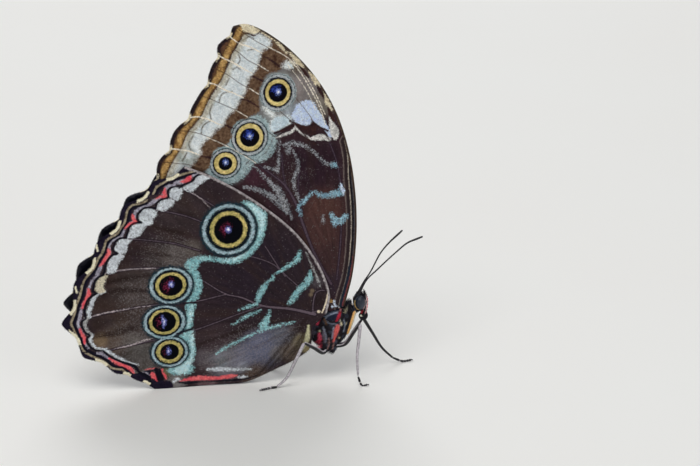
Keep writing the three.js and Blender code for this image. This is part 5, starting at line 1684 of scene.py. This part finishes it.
# The tongue: from the mouth down into a coil of two strands, side by side.
COIL_STEPS, COIL_TURNS = 109, 3.2
coil = [(25.1, 0, 14.6, 0.2), (24.75, 0, 13.9, 0.17)]
for k in range(COIL_STEPS + 1):
    turn = 2 * math.pi * COIL_TURNS * k / COIL_STEPS + 1.2
    reach = 0.9 - 0.74 * k / COIL_STEPS
    radius = 0.18 - 0.05 * k / COIL_STEPS
    coil.append((25.05 - reach * math.cos(turn), 0.0, 12.66 + reach * math.sin(turn), radius))
strands = []
for shift in (-0.11, 0.11):
    strands.append(tube([(x, y + shift, z, r) for x, y, z, r in coil], sides=10, spacing=0.08))
points, faces = joined(strands)
x, _, z = np.array(points).T
tints = plain_coat((30, 27, 32), len(points))
for shade, spot in (
    ((196, 52, 66), (24.78, 13.55, 0.5, 0.34)), ((222, 210, 186), (24.72, 12.75, 0.32, 0.24)),
    ((200, 110, 110), (25.4, 13.6, 0.3, 0.16)),
):
    tints = blend(tints, shade, smooth(ovals(x, z, spot), -0.05, 0.05))
soft_piece("proboscis_coil", "proboscis", points, faces, "limbs", tints)

roots = np.vstack(tuft_roots)
tufts(
    "palp_and_foreleg_coat", roots, np.vstack(tuft_ways), np.concatenate(tuft_lengths),
    np.full(len(roots), 0.06), np.vstack(tuft_tints), body_map(roots), "body", fur,
)


# ---------------------------------------------------------------- fringe of the wing margins

FRINGE_STEP = 0.11
fringe_paint = Paint("wing_fringe", 0.75, 0.06)
fringe = fringe_paint.base(fringe_paint.stored("tint", "Color"))


def wing_fringe(name, wing, side, dark_shade, pale_shade, length):
    """Scales that stand out past the margin, dark on the lobes and pale in the notches."""
    loop, bay = wing.loop, wing.bay
    after = np.roll(loop, -1, 0)
    steps = np.linalg.norm(after - loop, axis=1)
    along = np.concatenate([[0], np.cumsum(steps)])
    place = np.arange(0, along[-1], FRINGE_STEP)
    place = place + rng.uniform(-0.04, 0.04, len(place))
    k = np.clip(np.searchsorted(along, place) - 1, 0, len(loop) - 1)
    # The margin, and the hairy hollow of the inner edge under the body.
    chosen = (bay[k] >= 0) | ((loop[k, 0] > 1.5) & (loop[k, 1] < 9) & (loop[k, 0] < 14.4))
    place, k = place[chosen], k[chosen]
    spot = loop[k] + (after[k] - loop[k]) * ((place - along[k]) / steps[k])[:, None]
    run = (after[k] - loop[k]) / steps[k][:, None]
    out = np.column_stack([-run[:, 1], run[:, 0]])
    probe = spot + out * 0.3
    out = np.where(inside(probe[:, 0], probe[:, 1], loop)[:, None], -out, out)
    out += run * rng.uniform(-0.25, 0.25, (len(run), 1))
    keep = spot[:, 1] + out[:, 1] * 0.5 > 0.05
    spot, out, k = spot[keep], out[keep], k[keep]
    roots, tips = (wing.placed(*(spot + out * reach).T, FRINGE_OUT, side) for reach in (-0.08, 1))
    pale, hair = np.abs(bay[k] - 0.5) < 0.17, bay[k] < 0
    tints = np.where(pale[:, None], tone(pale_shade), tone(dark_shade))
    tints = np.where(hair[:, None], tone((92, 80, 68)), tints)
    tints[:, :3] *= rng.uniform(0.75, 1.25, len(k))[:, None]
    lengths = length * rng.uniform(0.7, 1.2, len(k)) * np.where(hair, 1.5, 1.0)
    widths = np.where(hair, 0.05, 0.1)
    piece = tufts(name, roots, tips - roots, lengths, widths, tints, wing.mapped(spot), "wings", fringe)
    points = read(piece.data, "co")
    points[:, 2] = np.maximum(points[:, 2], 0)
    piece.data.vertices.foreach_set("co", points.ravel())


for side, name in SIDES:
    wing_fringe("hindwing_fringe_" + name, hindwing, side, (24, 20, 34), (206, 198, 174), 0.3)
    wing_fringe("forewing_fringe_" + name, forewing, side, (38, 28, 28), (196, 188, 166), 0.26)


# ---------------------------------------------------------------- floor

floor_paint = Paint("floor", 0.6, 0.2)
floor_tone = floor_paint.mix(floor_paint.noise(60), ink(248, 246, 243), ink(252, 250, 247))
floor = mesh_object(
    "floor",
    [(-3000, -3000, 0), (3000, -3000, 0), (3000, 3000, 0), (-3000, 3000, 0)],
    [(0, 1, 2, 3)],
    [floor_paint.base(floor_tone)],
    None,
)
